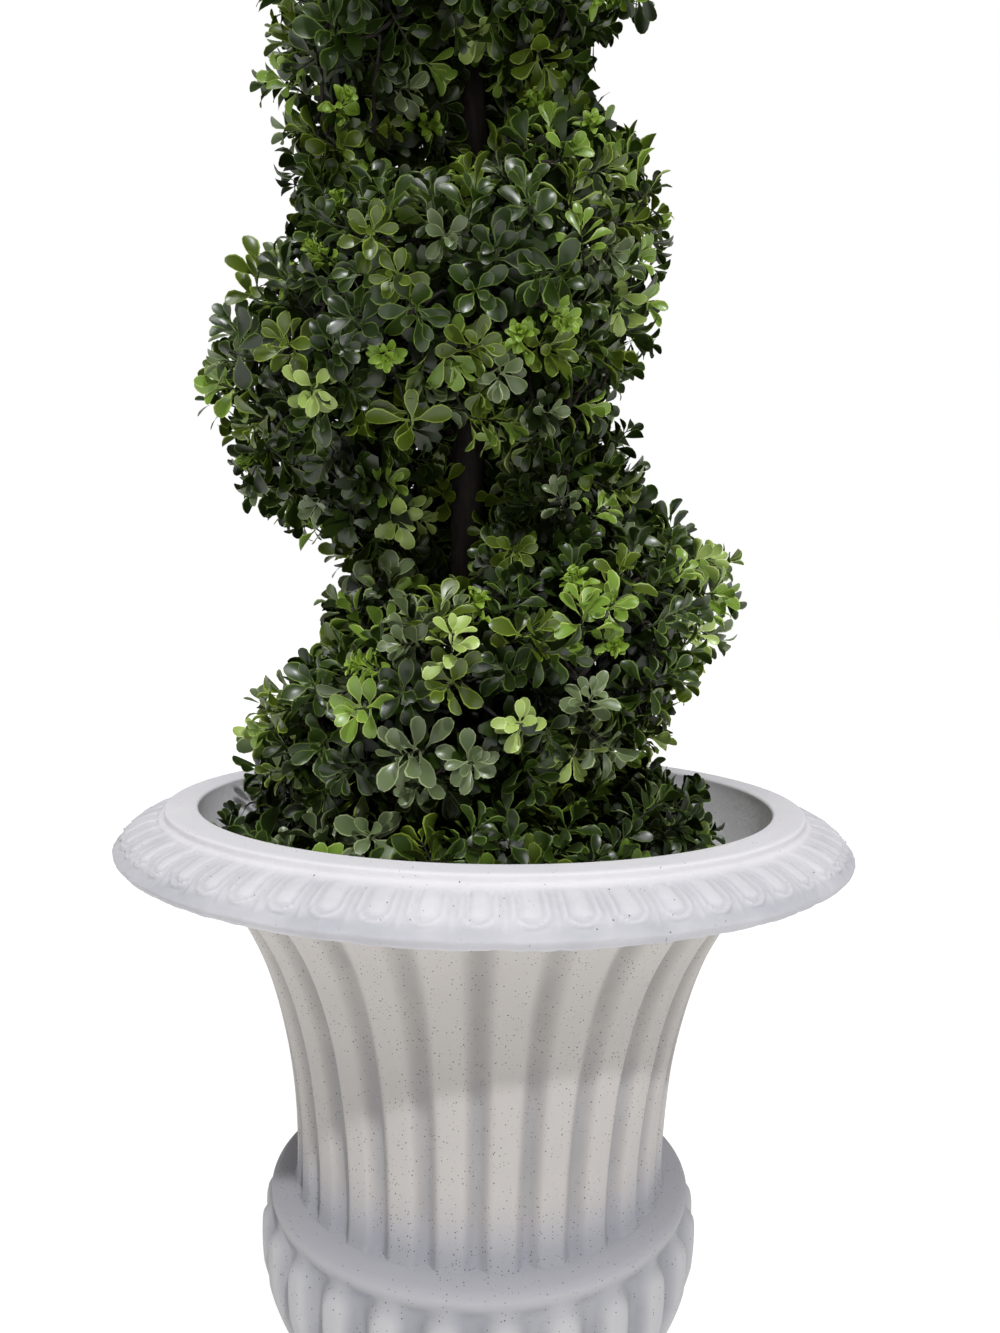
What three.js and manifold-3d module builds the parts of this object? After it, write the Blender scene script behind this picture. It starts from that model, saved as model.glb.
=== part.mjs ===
// Spiral box topiary standing in a campana urn.
// Millimetres, +Z up. The origin is the centre of the plinth's flat underside.
// The front of the urn faces -Y, and +X is to the right of someone facing it.
import * as THREE from "three";
import { mergeVertices } from "three/addons/utils/BufferGeometryUtils.js";
import Module from "manifold-3d";

const wasm = await Module();
wasm.setup();

// ---------------------------------------------------------------- driving sizes
const FIT_GAP = 0.3; // clearance left between neighbouring solids

// Urn
const URN_HEIGHT = 455; // floor to the top of the lip
const RIM_RADIUS = 210; // widest point of the ovolo rim
const MOUTH_RADIUS = 165.5; // inner edge of the lip
const LIP_OUTER_RADIUS = 183.5; // where the flat lip steps down to the ovolo
const WAIST_RADIUS = 109.5; // narrowest part of the fluted bell
const LEDGE_RADIUS = 126.7; // plain ledge that the bell stands on
const BULGE_RADIUS = 130.3; // widest point of the gadrooned bowl
const WALL = 13; // bell's wall, measured from the flat fillets
const RIM_DEPTH = 48; // lip top down to the joint with the bell
const BELL_DEPTH = 222; // lip top down to the ledge
const BOWL_DEPTH = 357; // lip top down to the stem
const PLINTH_WIDTH = 204;
const PLINTH_HEIGHT = 24;
const DIVISIONS = 26; // flutes round the bell, and gadroons round the bowl
const FLUTE_DEPTH = 5;
const GADROON_DEPTH = 7;

// Plant, with heights counted from the top of the lip
const SOIL_DEPTH = 55; // lip top down to the soil
const PLANT_RISE = 900; // lip top up to the plant's tip
const PITCH = 193; // rise of the spiral in one turn
const FIRST_TURN_RISE = 25; // height of the spiral's middle where it passes the left side
const CROWN_RADIUS = 158; // outer radius of the spiral where it leaves the urn
const CROWN_TAPER = 14; // radius lost in each turn
const CROWN_WAVE = 0.1; // uneven clipping, as a share of the radius
const BAND_HALF_HEIGHT = 61; // half the thickness of the band of leaves
const UNEVEN_LIFTS = [[1, 10], [1.5, 8], [2.5, 10]]; // turns, and how far the band is lifted there
const UNEVEN_SWELLS = [[-0.1, -24], [1, 9], [1.5, 6], [1.75, 22]]; // turns, and the change in half thickness
const UNEVEN_WIDTH = 0.25; // in turns
const BAND_SQUARENESS = 0.85; // 1 is an elliptical section, and less is a boxier one
const CORE_RADIUS = 82; // where the grooves between turns close round the trunk
const CORE_WAVE = 13; // uneven depth of the grooves
const SKIRT_CORE_EXTRA = 20; // the groove over the skirt is shallower by this
const CORE_BLEND = 14; // half the width over which a turn thickens towards the core
const CORE_SQUARENESS = 0.35;
const CORE_GAP = 2; // from the middle of a closed groove to the leaves above and below it
const SLOT_TURN = 0.215; // place of the slot that shows the trunk, with another one behind
const SLOT_HALF_WIDTH = 0.06; // in turns
const CROWN_HOLLOW = 12; // radius lost where the crown is clipped closest
const SKIRT_RISE = 26; // lip top up to the top of the leaves that fill the mouth
const BAND_INNER_RADIUS = 3; // from the trunk's axis to the inside of a band, before the trunk is cut out
const LEAN = 0.03; // sideways lean of the trunk towards -X, for each millimetre of height
const TRUNK_FOOT_OFFSET = 6; // of the trunk's foot, towards -X
const TRUNK_RADIUS = 11.5;
const TRUNK_TIP_RADIUS = 4;
const SPIRAL_START = -0.25; // turns, counted from the left side of the lowest band
const SPIRAL_END = 4.25;
const SKIRT_START = 0;
const SKIRT_END = 0.75;
const MASSES_PER_TURN = 4;

const lipZ = URN_HEIGHT;
const soilZ = lipZ - SOIL_DEPTH;
const FRONT = -Math.PI / 2;
const DIVISION_ANGLE = (2 * Math.PI) / DIVISIONS;

// ---------------------------------------------------------------- materials
const castStone = new THREE.MeshStandardMaterial({ color: 0xd9d8d6, roughness: 0.8, metalness: 0 });
const pottingMix = new THREE.MeshStandardMaterial({ color: 0x3a2c20, roughness: 0.95, metalness: 0 });
const bark = new THREE.MeshStandardMaterial({ color: 0x3b2e27, roughness: 0.85, metalness: 0 });
const leafGreen = new THREE.MeshStandardMaterial({ color: 0x3f5a2a, roughness: 0.5, metalness: 0 });

// ---------------------------------------------------------------- solids
function solidOf(geometry) {
  const bare = new THREE.BufferGeometry();
  bare.setAttribute("position", geometry.getAttribute("position").clone());
  if (geometry.index) bare.setIndex(geometry.index.clone());
  const merged = mergeVertices(bare, 1e-3);
  return new wasm.Manifold(
    new wasm.Mesh({
      numProp: 3,
      vertProperties: merged.getAttribute("position").array,
      triVerts: new Uint32Array(merged.index.array),
    }),
  );
}

function geometryOf(solid) {
  const mesh = solid.getMesh();
  const geometry = new THREE.BufferGeometry();
  geometry.setAttribute("position", new THREE.BufferAttribute(mesh.vertProperties, 3));
  geometry.setIndex(new THREE.BufferAttribute(mesh.triVerts, 1));
  geometry.computeVertexNormals();
  return geometry;
}

function named(name, geometry, material) {
  const mesh = new THREE.Mesh(geometry, material);
  mesh.name = name;
  return mesh;
}

// Moves every vertex of a geometry to place(x, y, z).
function reshape(geometry, place) {
  const position = geometry.getAttribute("position");
  const point = new THREE.Vector3();
  for (let i = 0; i < position.count; i++) {
    point.fromBufferAttribute(position, i);
    place(point);
    position.setXYZ(i, point.x, point.y, point.z);
  }
  geometry.computeVertexNormals();
  return geometry;
}

// A solid turned about Z from a profile of (radius, height) points.
function turned(profile, segments) {
  return new THREE.LatheGeometry(profile, segments).rotateX(Math.PI / 2);
}

// Changes each vertex's radius to radiusAt(radius, angle, height).
function withRadius(geometry, radiusAt) {
  return reshape(geometry, (p) => {
    const radius = Math.hypot(p.x, p.y);
    if (radius < 1e-6) return;
    const scale = radiusAt(radius, Math.atan2(p.y, p.x), p.z) / radius;
    p.x *= scale;
    p.y *= scale;
  });
}

// How far an angle lies from the middle of its division, from -1 to 1 at the division's edges.
function placeInDivision(angle) {
  const turns = (angle - FRONT) / DIVISION_ANGLE;
  return 2 * (turns - Math.round(turns));
}

// ---------------------------------------------------------------- urn
const FLARE = 33; // growth of the bell from waist to rim, as the square of the height
const TOP_FLARE = 8; // sharper growth close under the rim
const FLARE_LENGTH = 160;
const FLARE_START_DEPTH = 210;

function bellRadius(z) {
  const s = Math.max(0, (z - (lipZ - FLARE_START_DEPTH)) / FLARE_LENGTH);
  return WAIST_RADIUS + FLARE * s ** 2 + TOP_FLARE * s ** 6;
}

function rim() {
  const footZ = lipZ - RIM_DEPTH;
  const footRadius = bellRadius(footZ);
  const edgeZ = lipZ - 19;
  const path = new THREE.Path();
  path.moveTo(footRadius, footZ);
  path.quadraticCurveTo(footRadius + 12, lipZ - 30, RIM_RADIUS - 9, lipZ - 26);
  path.quadraticCurveTo(RIM_RADIUS, lipZ - 25, RIM_RADIUS, edgeZ);
  path.quadraticCurveTo(RIM_RADIUS - 6, lipZ - 8, LIP_OUTER_RADIUS + 1, lipZ - 3.5);
  path.lineTo(LIP_OUTER_RADIUS, lipZ - 1.5);
  path.lineTo(LIP_OUTER_RADIUS - 2, lipZ);
  path.lineTo(MOUTH_RADIUS + 2, lipZ);
  path.lineTo(MOUTH_RADIUS, lipZ - 2);
  path.lineTo(MOUTH_RADIUS, lipZ - 13);
  path.quadraticCurveTo(MOUTH_RADIUS - 3, lipZ - 24, footRadius - WALL, footZ);
  path.closePath();
  return turned(path.getPoints(2), 40);
}

function fluteCut(angle) {
  const channelShare = 0.62; // of each division; the rest is a flat fillet
  const across = placeInDivision(angle) / channelShare;
  return Math.abs(across) < 1 ? FLUTE_DEPTH * Math.sqrt(1 - across * across) : 0;
}

// Heights of the rows in the bell's inner wall, up to the soil.
function wallHeights() {
  const footZ = lipZ - BELL_DEPTH;
  const rows = 2;
  return Array.from({ length: rows + 1 }, (_, i) => footZ + ((soilZ - footZ) * i) / rows);
}

function bell() {
  const topZ = lipZ - RIM_DEPTH - FIT_GAP;
  const footZ = lipZ - BELL_DEPTH;
  const rows = 4;
  const profile = [];
  for (let i = 0; i <= rows; i++) {
    const z = footZ + ((topZ - footZ) * i) / rows;
    profile.push(new THREE.Vector2(bellRadius(z), z));
  }
  profile.push(new THREE.Vector2(bellRadius(topZ) - WALL, topZ));
  for (const z of wallHeights().reverse()) profile.push(new THREE.Vector2(bellRadius(z) - WALL, z));
  profile.push(profile[0].clone());
  const plain = turned(profile, 4 * DIVISIONS);
  return withRadius(plain, (radius, angle, z) =>
    radius > bellRadius(z) - WALL / 2 ? radius - fluteCut(angle) : radius,
  );
}

// The bowl's outline over the tops of the gadroons.
function bowlProfile() {
  const ledgeZ = lipZ - BELL_DEPTH - FIT_GAP;
  const path = new THREE.Path();
  path.moveTo(0, lipZ - BOWL_DEPTH);
  path.lineTo(44, lipZ - BOWL_DEPTH);
  path.quadraticCurveTo(82, lipZ - 352, 104.5, lipZ - 320);
  path.quadraticCurveTo(123, lipZ - 292, BULGE_RADIUS - 2, lipZ - 268);
  path.quadraticCurveTo(BULGE_RADIUS, lipZ - 245, LEDGE_RADIUS - 1, ledgeZ - 7);
  path.lineTo(LEDGE_RADIUS, ledgeZ - 3);
  path.lineTo(WAIST_RADIUS + 1, ledgeZ);
  path.lineTo(0, ledgeZ);
  return path.getPoints(2);
}

function bowl() {
  const lobeTopZ = lipZ - 231;
  const lobeFootZ = lipZ - 354;
  return withRadius(turned(bowlProfile(), 4 * DIVISIONS), (radius, angle, z) => {
    const along = (z - lobeFootZ) / (lobeTopZ - lobeFootZ);
    if (along <= 0 || along >= 1) return radius;
    const fromLobe = 1 - Math.abs(placeInDivision(angle));
    const valley = 1 - Math.sqrt(1 - fromLobe * fromLobe);
    return radius - GADROON_DEPTH * Math.sin(Math.PI * along) ** 0.6 * valley;
  });
}

function foot() {
  const topZ = lipZ - BOWL_DEPTH - FIT_GAP;
  const baseZ = PLINTH_HEIGHT + FIT_GAP;
  const path = new THREE.Path();
  path.moveTo(0, baseZ);
  path.lineTo(93, baseZ);
  path.quadraticCurveTo(98, baseZ + 6, 93, baseZ + 12);
  path.lineTo(86, baseZ + 13);
  path.quadraticCurveTo(46, baseZ + 22, 41, topZ - 16);
  path.lineTo(46, topZ - 15);
  path.quadraticCurveTo(51, topZ - 8, 46, topZ - 1);
  path.lineTo(44, topZ);
  path.lineTo(0, topZ);
  return turned(path.getPoints(3), 26);
}

function plinth() {
  const half = PLINTH_WIDTH / 2;
  const chamfer = 2;
  const square = new THREE.Shape();
  square.moveTo(-half + chamfer, -half + chamfer);
  square.lineTo(half - chamfer, -half + chamfer);
  square.lineTo(half - chamfer, half - chamfer);
  square.lineTo(-half + chamfer, half - chamfer);
  square.closePath();
  const slab = new THREE.ExtrudeGeometry(square, {
    depth: PLINTH_HEIGHT - 2 * chamfer,
    bevelThickness: chamfer,
    bevelSize: chamfer,
    bevelSegments: 1,
  });
  return slab.translate(0, 0, chamfer);
}

function soil() {
  const heights = wallHeights();
  const profile = [new THREE.Vector2(0, heights[0])];
  for (const z of heights) profile.push(new THREE.Vector2(bellRadius(z) - WALL - FIT_GAP, z));
  profile.push(new THREE.Vector2(0, soilZ));
  return turned(profile, 40);
}

// ---------------------------------------------------------------- plant
// The trunk's middle at a height above the lip: it leans, with a slight bend.
function trunkX(rise) {
  return -TRUNK_FOOT_OFFSET - LEAN * rise - 3.5 * Math.sin((rise * 2 * Math.PI) / 520);
}

function trunkY(rise) {
  return 3 * Math.sin((rise * 2 * Math.PI) / 640 + 1);
}

const TRUNK_RISE = PLANT_RISE - 45; // the trunk ends inside the tip

function trunkRadius(rise) {
  const share = (rise + SOIL_DEPTH) / (TRUNK_RISE + SOIL_DEPTH);
  const flare = 6 * Math.exp(-(rise + SOIL_DEPTH) / 16);
  return TRUNK_RADIUS + (TRUNK_TIP_RADIUS - TRUNK_RADIUS) * share + flare;
}

// extra swells the trunk all over, to make the tool that cuts the foliage round it.
function trunk(extra = 0) {
  const foot = -SOIL_DEPTH + FIT_GAP - extra;
  const top = TRUNK_RISE + extra;
  const rows = 14;
  return reshape(new THREE.CylinderGeometry(1, 1, 1, 10, rows).rotateX(Math.PI / 2), (p) => {
    const share = (p.z + 0.5) ** 1.25; // closer rows in the root flare
    const rise = foot + (top - foot) * share;
    const radius = trunkRadius(Math.max(rise, -SOIL_DEPTH)) + extra;
    p.set(trunkX(rise) + p.x * radius, trunkY(rise) + p.y * radius, lipZ + rise);
  });
}

// 1 at a place along the spiral, fading to nothing over about twice the width.
function bump(turns, place) {
  return Math.exp(-(((turns - place) / UNEVEN_WIDTH) ** 2));
}

// Sum of changes, each given as its place in turns and its size.
function uneven(changes, turns) {
  return changes.reduce((sum, [place, size]) => sum + size * bump(turns, place), 0);
}

function spiralRise(turns) {
  const even = FIRST_TURN_RISE + PITCH * turns - 6 * Math.max(0, turns - 1.5) ** 2;
  return even + uneven(UNEVEN_LIFTS, turns);
}

function crownRadius(turns) {
  const even = CROWN_RADIUS - CROWN_TAPER * turns - CROWN_HOLLOW * bump(turns, 1.5);
  const cone = even - 3.5 * Math.max(0, turns - 1.5) ** 2;
  return cone * (1 + CROWN_WAVE * Math.cos((2 * Math.PI * (turns - 0.8)) / 1.75));
}

function bandHalfHeight(turns) {
  const even = BAND_HALF_HEIGHT - 2.5 * Math.max(0, turns - 2);
  return even + uneven(UNEVEN_SWELLS, turns);
}

// How deep the groove is that follows halfway between two turns.
function grooveRadius(turns) {
  return CORE_RADIUS + CORE_WAVE * Math.cos((2 * Math.PI * (turns - 1.4)) / 1.8);
}

// 1 in the middle of a slot that shows the trunk, and 0 where the groove closes round it.
function slotOpening(turns) {
  const halfTurns = 2 * (turns - SLOT_TURN);
  const away = (halfTurns - Math.round(halfTurns)) / (2 * SLOT_HALF_WIDTH);
  return Math.exp(-(away ** 4));
}

function skirtTop(turns) {
  return Math.min(SKIRT_RISE, spiralRise(turns) - bandHalfHeight(turns) - 7);
}

function isOverSkirt(turns, way) {
  return way < 0 && turns > SKIRT_START && turns < SKIRT_END;
}

// How far a turn has thickened to meet the leaves above it (way 1) or below it (way -1).
function coreShare(turns, radius, way) {
  const neighbour = turns + way;
  const isAlone = neighbour < SPIRAL_START || neighbour > SPIRAL_END;
  if (way === 0 || (isAlone && !isOverSkirt(turns, way))) return 0;
  const extra = isOverSkirt(turns, way) ? SKIRT_CORE_EXTRA : 0;
  const groove = grooveRadius(turns + way / 2) + CORE_BLEND * 0.7 + extra;
  const inside = 1 - THREE.MathUtils.smoothstep(radius, groove - CORE_BLEND, groove + CORE_BLEND);
  return inside * (1 - slotOpening(turns));
}

// The height of the thickened core at an angle round the section.
function coreHeight(turns, around, way) {
  const rise = spiralRise(turns);
  const meeting = isOverSkirt(turns, way)
    ? skirtTop(turns) + 2 * CORE_GAP
    : (rise + spiralRise(turns + way)) / 2 - way * CORE_GAP;
  return rise + (meeting - rise) * Math.abs(Math.sin(around)) ** CORE_SQUARENESS;
}

// A cosine or sine drawn towards the corners of its square.
function squared(wave) {
  return Math.sign(wave) * Math.abs(wave) ** BAND_SQUARENESS;
}

// Lumps in the clipped surface, as a share of the section's size.
function lump(angle, around) {
  return (
    0.035 * Math.sin(3.1 * angle + 2 * around) +
    0.03 * Math.sin(7.3 * angle - around) +
    0.025 * Math.sin(5.2 * angle + 3 * around)
  );
}

// Bends a unit drum into a length of leafy band round the trunk.
// section(turns) gives the band's middle, its radial and upright half sizes and its lowest height.
function leafyBand(fromTurns, toTurns, section) {
  const rows = fromTurns > 2 ? 3 : 4;
  const drum = new THREE.CylinderGeometry(1, 1, 1, 12, rows);
  return reshape(drum, (p) => {
    const along = p.y + 0.5;
    const turns = fromTurns + (toTurns - fromTurns) * along;
    const angle = Math.PI + 2 * Math.PI * turns;
    const around = Math.atan2(p.z, p.x);
    const { middle, rise, across, upright, floor, hasCore } = section(turns);
    const pillow = 1 - 0.07 * Math.abs(2 * along - 1) ** 3;
    const swell = Math.hypot(p.x, p.z) * pillow * (1 + lump(angle, around));
    const radius = middle + across * swell * squared(Math.cos(around));
    const clipped = rise + upright * swell * squared(Math.sin(around));
    const way = hasCore ? Math.sign(p.z) : 0;
    const thickened = coreHeight(turns, around, way) - clipped;
    const height = Math.max(clipped + thickened * coreShare(turns, radius, way), floor);
    const reach = Math.max(radius, 1);
    p.set(
      trunkX(height) + reach * Math.cos(angle),
      trunkY(height) + reach * Math.sin(angle),
      lipZ + height,
    );
  });
}

const plantFloor = -SOIL_DEPTH + FIT_GAP;

function spiralSection(turns) {
  const outer = crownRadius(turns);
  return {
    middle: (outer + BAND_INNER_RADIUS) / 2,
    across: (outer - BAND_INNER_RADIUS) / 2,
    rise: spiralRise(turns),
    upright: bandHalfHeight(turns),
    floor: plantFloor,
    hasCore: true,
  };
}

// The skirt fills the urn's mouth under the first turn, low on the left where the band passes over it.
function skirtSection(turns) {
  const top = skirtTop(turns);
  return {
    middle: 80,
    across: 67,
    rise: (top + plantFloor) / 2 - 4,
    upright: (top - plantFloor) / 2 + 4,
    floor: plantFloor,
    hasCore: false,
  };
}

function tip() {
  const height = 120;
  const ball = new THREE.SphereGeometry(1, 11, 7).rotateX(Math.PI / 2);
  return reshape(ball, (p) => {
    const rise = PLANT_RISE - height / 2 + (p.z * height) / 2;
    const waist = 53 * (1 - 0.2 * p.z) * (1 + 0.6 * lump(2 * p.x, 3 * p.y));
    p.set(trunkX(rise) + p.x * waist, trunkY(rise) + p.y * waist, lipZ + rise);
  });
}

// ---------------------------------------------------------------- assembly
const topiary = new THREE.Group();
topiary.add(
  named("urn_plinth", plinth(), castStone),
  named("urn_foot", foot(), castStone),
  named("urn_bowl", bowl(), castStone),
  named("urn_bell", bell(), castStone),
  named("urn_rim", rim(), castStone),
  named("soil", soil(), pottingMix),
  named("trunk", trunk(), bark),
);

// Everything outside the urn's hollow, to keep the lowest leaves off its wall.
function outsideOfMouth() {
  const clear = 1.5;
  const jointZ = lipZ - RIM_DEPTH;
  const outside = new THREE.Path();
  outside.moveTo(bellRadius(soilZ) - WALL - clear, soilZ);
  outside.lineTo(bellRadius(soilZ) - WALL - clear, soilZ - 5);
  outside.lineTo(300, soilZ - 5);
  outside.lineTo(300, lipZ + clear);
  outside.lineTo(MOUTH_RADIUS - clear, lipZ + clear);
  outside.lineTo(MOUTH_RADIUS - clear, lipZ - 13);
  outside.lineTo(bellRadius(jointZ) - WALL - clear, jointZ);
  outside.closePath();
  return turned(outside.getPoints(), 32);
}

const trunkTool = solidOf(trunk(FIT_GAP));
const urnTool = solidOf(outsideOfMouth());

// Cuts the trunk, the urn and any other tools out of a mass, and keeps the largest body left.
function addFoliage(name, geometry, otherTools = []) {
  let mass = solidOf(geometry).subtract(trunkTool).subtract(urnTool);
  for (const tool of otherTools) mass = mass.subtract(tool);
  const [largest] = mass.decompose().sort((a, b) => b.volume() - a.volume());
  topiary.add(named(name, geometryOf(largest), leafGreen));
}

const END_GAP_TURNS = 0.0008; // opening left between the ends of neighbouring masses
const step = 1 / MASSES_PER_TURN;

for (let i = 0, turns = SKIRT_START; turns < SKIRT_END - 1e-9; i++, turns += step) {
  const mass = leafyBand(turns + END_GAP_TURNS, turns + step - END_GAP_TURNS, skirtSection);
  addFoliage(`skirt_foliage_${i + 1}`, mass);
}

const topTools = [];
const spiralCount = Math.round((SPIRAL_END - SPIRAL_START) / step);
for (let i = 0; i < spiralCount; i++) {
  const from = SPIRAL_START + i * step;
  const mass = leafyBand(from + END_GAP_TURNS, from + step - END_GAP_TURNS, spiralSection);
  addFoliage(`spiral_foliage_${String(i + 1).padStart(2, "0")}`, mass);
  if (from + step > SPIRAL_END - 1) {
    const swollen = (turns) => {
      const section = spiralSection(turns);
      section.across += 3 * FIT_GAP;
      section.upright += 3 * FIT_GAP;
      return section;
    };
    const reach = 3 * END_GAP_TURNS;
    topTools.push(solidOf(leafyBand(from - reach, from + step + reach, swollen)));
  }
}
addFoliage("tip_foliage", tip(), topTools);

export default topiary;
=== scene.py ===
# %% [markdown]
# # A spiral topiary in its urn
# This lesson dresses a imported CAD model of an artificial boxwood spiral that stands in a
# fluted urn. The CAD solids say where things are and how big they are. Blender adds what
# they leave out: leaves, twigs, bark, carved relief, and the finish of each material.
# Everything is in metres, with +Z up and the front of the urn towards -Y.

# %% Load the frame
import math

import bmesh
import bpy
import numpy as np
from mathutils import Matrix, Vector, noise


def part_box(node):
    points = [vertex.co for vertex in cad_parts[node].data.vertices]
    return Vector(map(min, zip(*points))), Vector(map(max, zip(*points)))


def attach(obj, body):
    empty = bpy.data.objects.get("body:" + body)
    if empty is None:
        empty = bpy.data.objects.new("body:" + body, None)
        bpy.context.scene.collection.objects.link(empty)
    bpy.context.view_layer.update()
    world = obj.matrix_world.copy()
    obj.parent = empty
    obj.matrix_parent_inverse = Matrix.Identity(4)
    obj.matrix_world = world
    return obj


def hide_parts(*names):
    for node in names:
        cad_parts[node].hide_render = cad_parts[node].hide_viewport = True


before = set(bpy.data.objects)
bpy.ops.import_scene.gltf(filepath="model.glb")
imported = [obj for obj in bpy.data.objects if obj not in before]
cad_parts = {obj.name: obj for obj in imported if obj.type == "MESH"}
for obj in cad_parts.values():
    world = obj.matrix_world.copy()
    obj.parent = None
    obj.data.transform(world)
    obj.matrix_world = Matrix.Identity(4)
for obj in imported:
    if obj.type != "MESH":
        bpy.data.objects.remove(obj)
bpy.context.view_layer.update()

# %% [markdown]
# ## Sizes
# The heights come from the CAD boxes, so that a new pack moves the pieces with it.
# The spiral's own numbers are the same as in the CAD source: a band of leaves that climbs
# a bare trunk as a right-handed screw, four and a half turns from the soil to the tip.

# %% Heights read from the frame
MM = 0.001
LIP_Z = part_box("urn_rim")[1].z
SOIL_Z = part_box("soil")[1].z
PLINTH_LOW, PLINTH_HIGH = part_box("urn_plinth")
FOOT_LOW, FOOT_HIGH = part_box("urn_foot")
TRUNK_LOW, TRUNK_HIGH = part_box("trunk")
RIM_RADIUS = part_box("urn_rim")[1].x
TIP_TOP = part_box("tip_foliage")[1].z
print(f"lip at {LIP_Z:.3f} m, soil at {SOIL_Z:.3f} m, tip at {TIP_TOP:.3f} m")

# %% Sizes of the spiral
PITCH = 193 * MM
FIRST_TURN_RISE = 25 * MM
CROWN_RADIUS = 158 * MM
CROWN_TAPER = 14 * MM
CROWN_WAVE = 0.1
BAND_HALF_HEIGHT = 61 * MM
CROWN_HOLLOWS = ((1.5, -12),)
UNEVEN_LIFTS = ((1, 10), (1.5, 8), (2.5, 10))  # turns, and mm lifted there
UNEVEN_SWELLS = ((-0.1, -24), (1, 9), (1.5, 6), (1.75, 22))
UNEVEN_WIDTH = 0.25
BAND_SQUARENESS = 0.85
CORE_RADIUS = 82 * MM
CORE_WAVE = 13 * MM
GROOVE_HOLLOWS = ((2, -14),)
SKIRT_CORE_EXTRA = 20 * MM
CORE_BLEND = 14 * MM
CORE_SQUARENESS = 0.35
CORE_GAP = 2 * MM
SLOT_TURN = 0.215
SLOT_HALF_WIDTH = 0.095  # in turns, wider than in the CAD so that leaves don't shut it
SKIRT_RISE = 26 * MM
BAND_INNER_RADIUS = 3 * MM
SPIRAL_START, SPIRAL_END = -0.25, 4.25
SKIRT_START, SKIRT_END = 0, 0.75


def trunk_middle(rise):
    """The trunk's middle at heights above the lip, as points."""
    rise = np.asarray(rise, float)
    x = -6 * MM - 0.03 * rise - 3.5 * MM * np.sin(rise * 2 * math.pi / 0.52)
    y = 3 * MM * np.sin(rise * 2 * math.pi / 0.64 + 1)
    return np.stack([x, y, LIP_Z + rise], axis=-1)


def trunk_radius(rise):
    share = (rise + 0.055) / (0.855 + 0.055)
    return (11.5 - 7.5 * share + 6 * np.exp(-(rise + 0.055) / 0.016)) * MM


def uneven(changes, turns):
    """Sum of changes in mm, each fading to nothing over about half a turn."""
    turns = np.asarray(turns, float)
    bumps = [size * np.exp(-(((turns - place) / UNEVEN_WIDTH) ** 2)) for place, size in changes]
    return sum(bumps) * MM


def spiral_rise(turns):
    even = FIRST_TURN_RISE + PITCH * turns - 6 * MM * np.maximum(0, turns - 1.5) ** 2
    return even + uneven(UNEVEN_LIFTS, turns)


def crown_radius(turns):
    even = CROWN_RADIUS - CROWN_TAPER * turns + uneven(CROWN_HOLLOWS, turns)
    cone = even - 3.5 * MM * np.maximum(0, turns - 1.5) ** 2
    return cone * (1 + CROWN_WAVE * np.cos(2 * math.pi * (turns - 0.8) / 1.75))


def band_half_height(turns):
    even = BAND_HALF_HEIGHT - 2.5 * MM * np.maximum(0, turns - 2)
    return even + uneven(UNEVEN_SWELLS, turns)


def skirt_top(turns):
    return np.minimum(SKIRT_RISE, spiral_rise(turns) - band_half_height(turns) - 7 * MM)


def groove_radius(turns):
    """How deep the groove is that follows halfway between two turns."""
    even = CORE_RADIUS + CORE_WAVE * np.cos(2 * math.pi * (turns - 1.4) / 1.8)
    return even + uneven(GROOVE_HOLLOWS, turns)


def slot_opening(turns):
    """1 in the middle of a slot that shows the trunk, 0 where the groove closes."""
    half_turns = 2 * (turns - SLOT_TURN)
    away = (half_turns - np.round(half_turns)) / (2 * SLOT_HALF_WIDTH)
    return np.exp(-(away**4))


print("crown radius by turn, mm:", (crown_radius(np.arange(5)) * 1000).round(0))

# %% [markdown]
# ## Small helpers
# Colours are written as sRGB hex values, as a paint chart gives them. Blender's shaders
# work in linear light, so one function converts them all.
# Another adds a shader node with its settings and links in one line. On most finishes
# one pattern gives both the roughness and the fine relief, so a third wires the two.

# %% Colour and node helpers
def linear(hex_colour):
    """An sRGB hex colour as linear RGBA."""
    channels = [int(hex_colour[i : i + 2], 16) / 255 for i in (1, 3, 5)]
    lit = [c / 12.92 if c <= 0.04045 else ((c + 0.055) / 1.055) ** 2.4 for c in channels]
    return (*lit, 1.0)


def add(tree, kind, inputs=None, **settings):
    """Adds a node. An input is a value, or another node's output socket."""
    made = tree.nodes.new(kind)
    for name, value in settings.items():
        setattr(made, name, value)
    for socket, value in (inputs or {}).items():
        if isinstance(value, bpy.types.NodeSocket):
            tree.links.new(value, made.inputs[socket])
        else:
            made.inputs[socket].default_value = value
    return made


def start_material(name):
    """A new material with an output, a Principled shader and Object coordinates."""
    material = bpy.data.materials.new(name)
    material.use_nodes = True
    tree = material.node_tree
    tree.nodes.clear()
    shader = add(tree, "ShaderNodeBsdfPrincipled")
    add(tree, "ShaderNodeOutputMaterial", {"Surface": shader.outputs["BSDF"]})
    place = add(tree, "ShaderNodeTexCoord").outputs["Object"]
    return material, tree, shader, place


def set_surface(tree, shader, pattern, roughness, relief):
    """Roughness from low to high by a pattern, and relief as (strength, metres)."""
    low, high = roughness
    strength, distance = relief
    dull = add(tree, "ShaderNodeMapRange", {"Value": pattern, "To Min": low, "To Max": high})
    bump = add(
        tree, "ShaderNodeBump", {"Height": pattern, "Strength": strength, "Distance": distance}
    )
    tree.links.new(dull.outputs["Result"], shader.inputs["Roughness"])
    tree.links.new(bump.outputs["Normal"], shader.inputs["Normal"])
    return bump.outputs["Normal"]


print("mid grey in linear light:", round(linear("#808080")[0], 3))


# %% Mesh helpers
def new_piece(name, mesh):
    """Shades a mesh smooth and puts it in the scene, at the origin."""
    mesh.shade_smooth()
    made = bpy.data.objects.new(name, mesh)
    bpy.context.scene.collection.objects.link(made)
    return made


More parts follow.
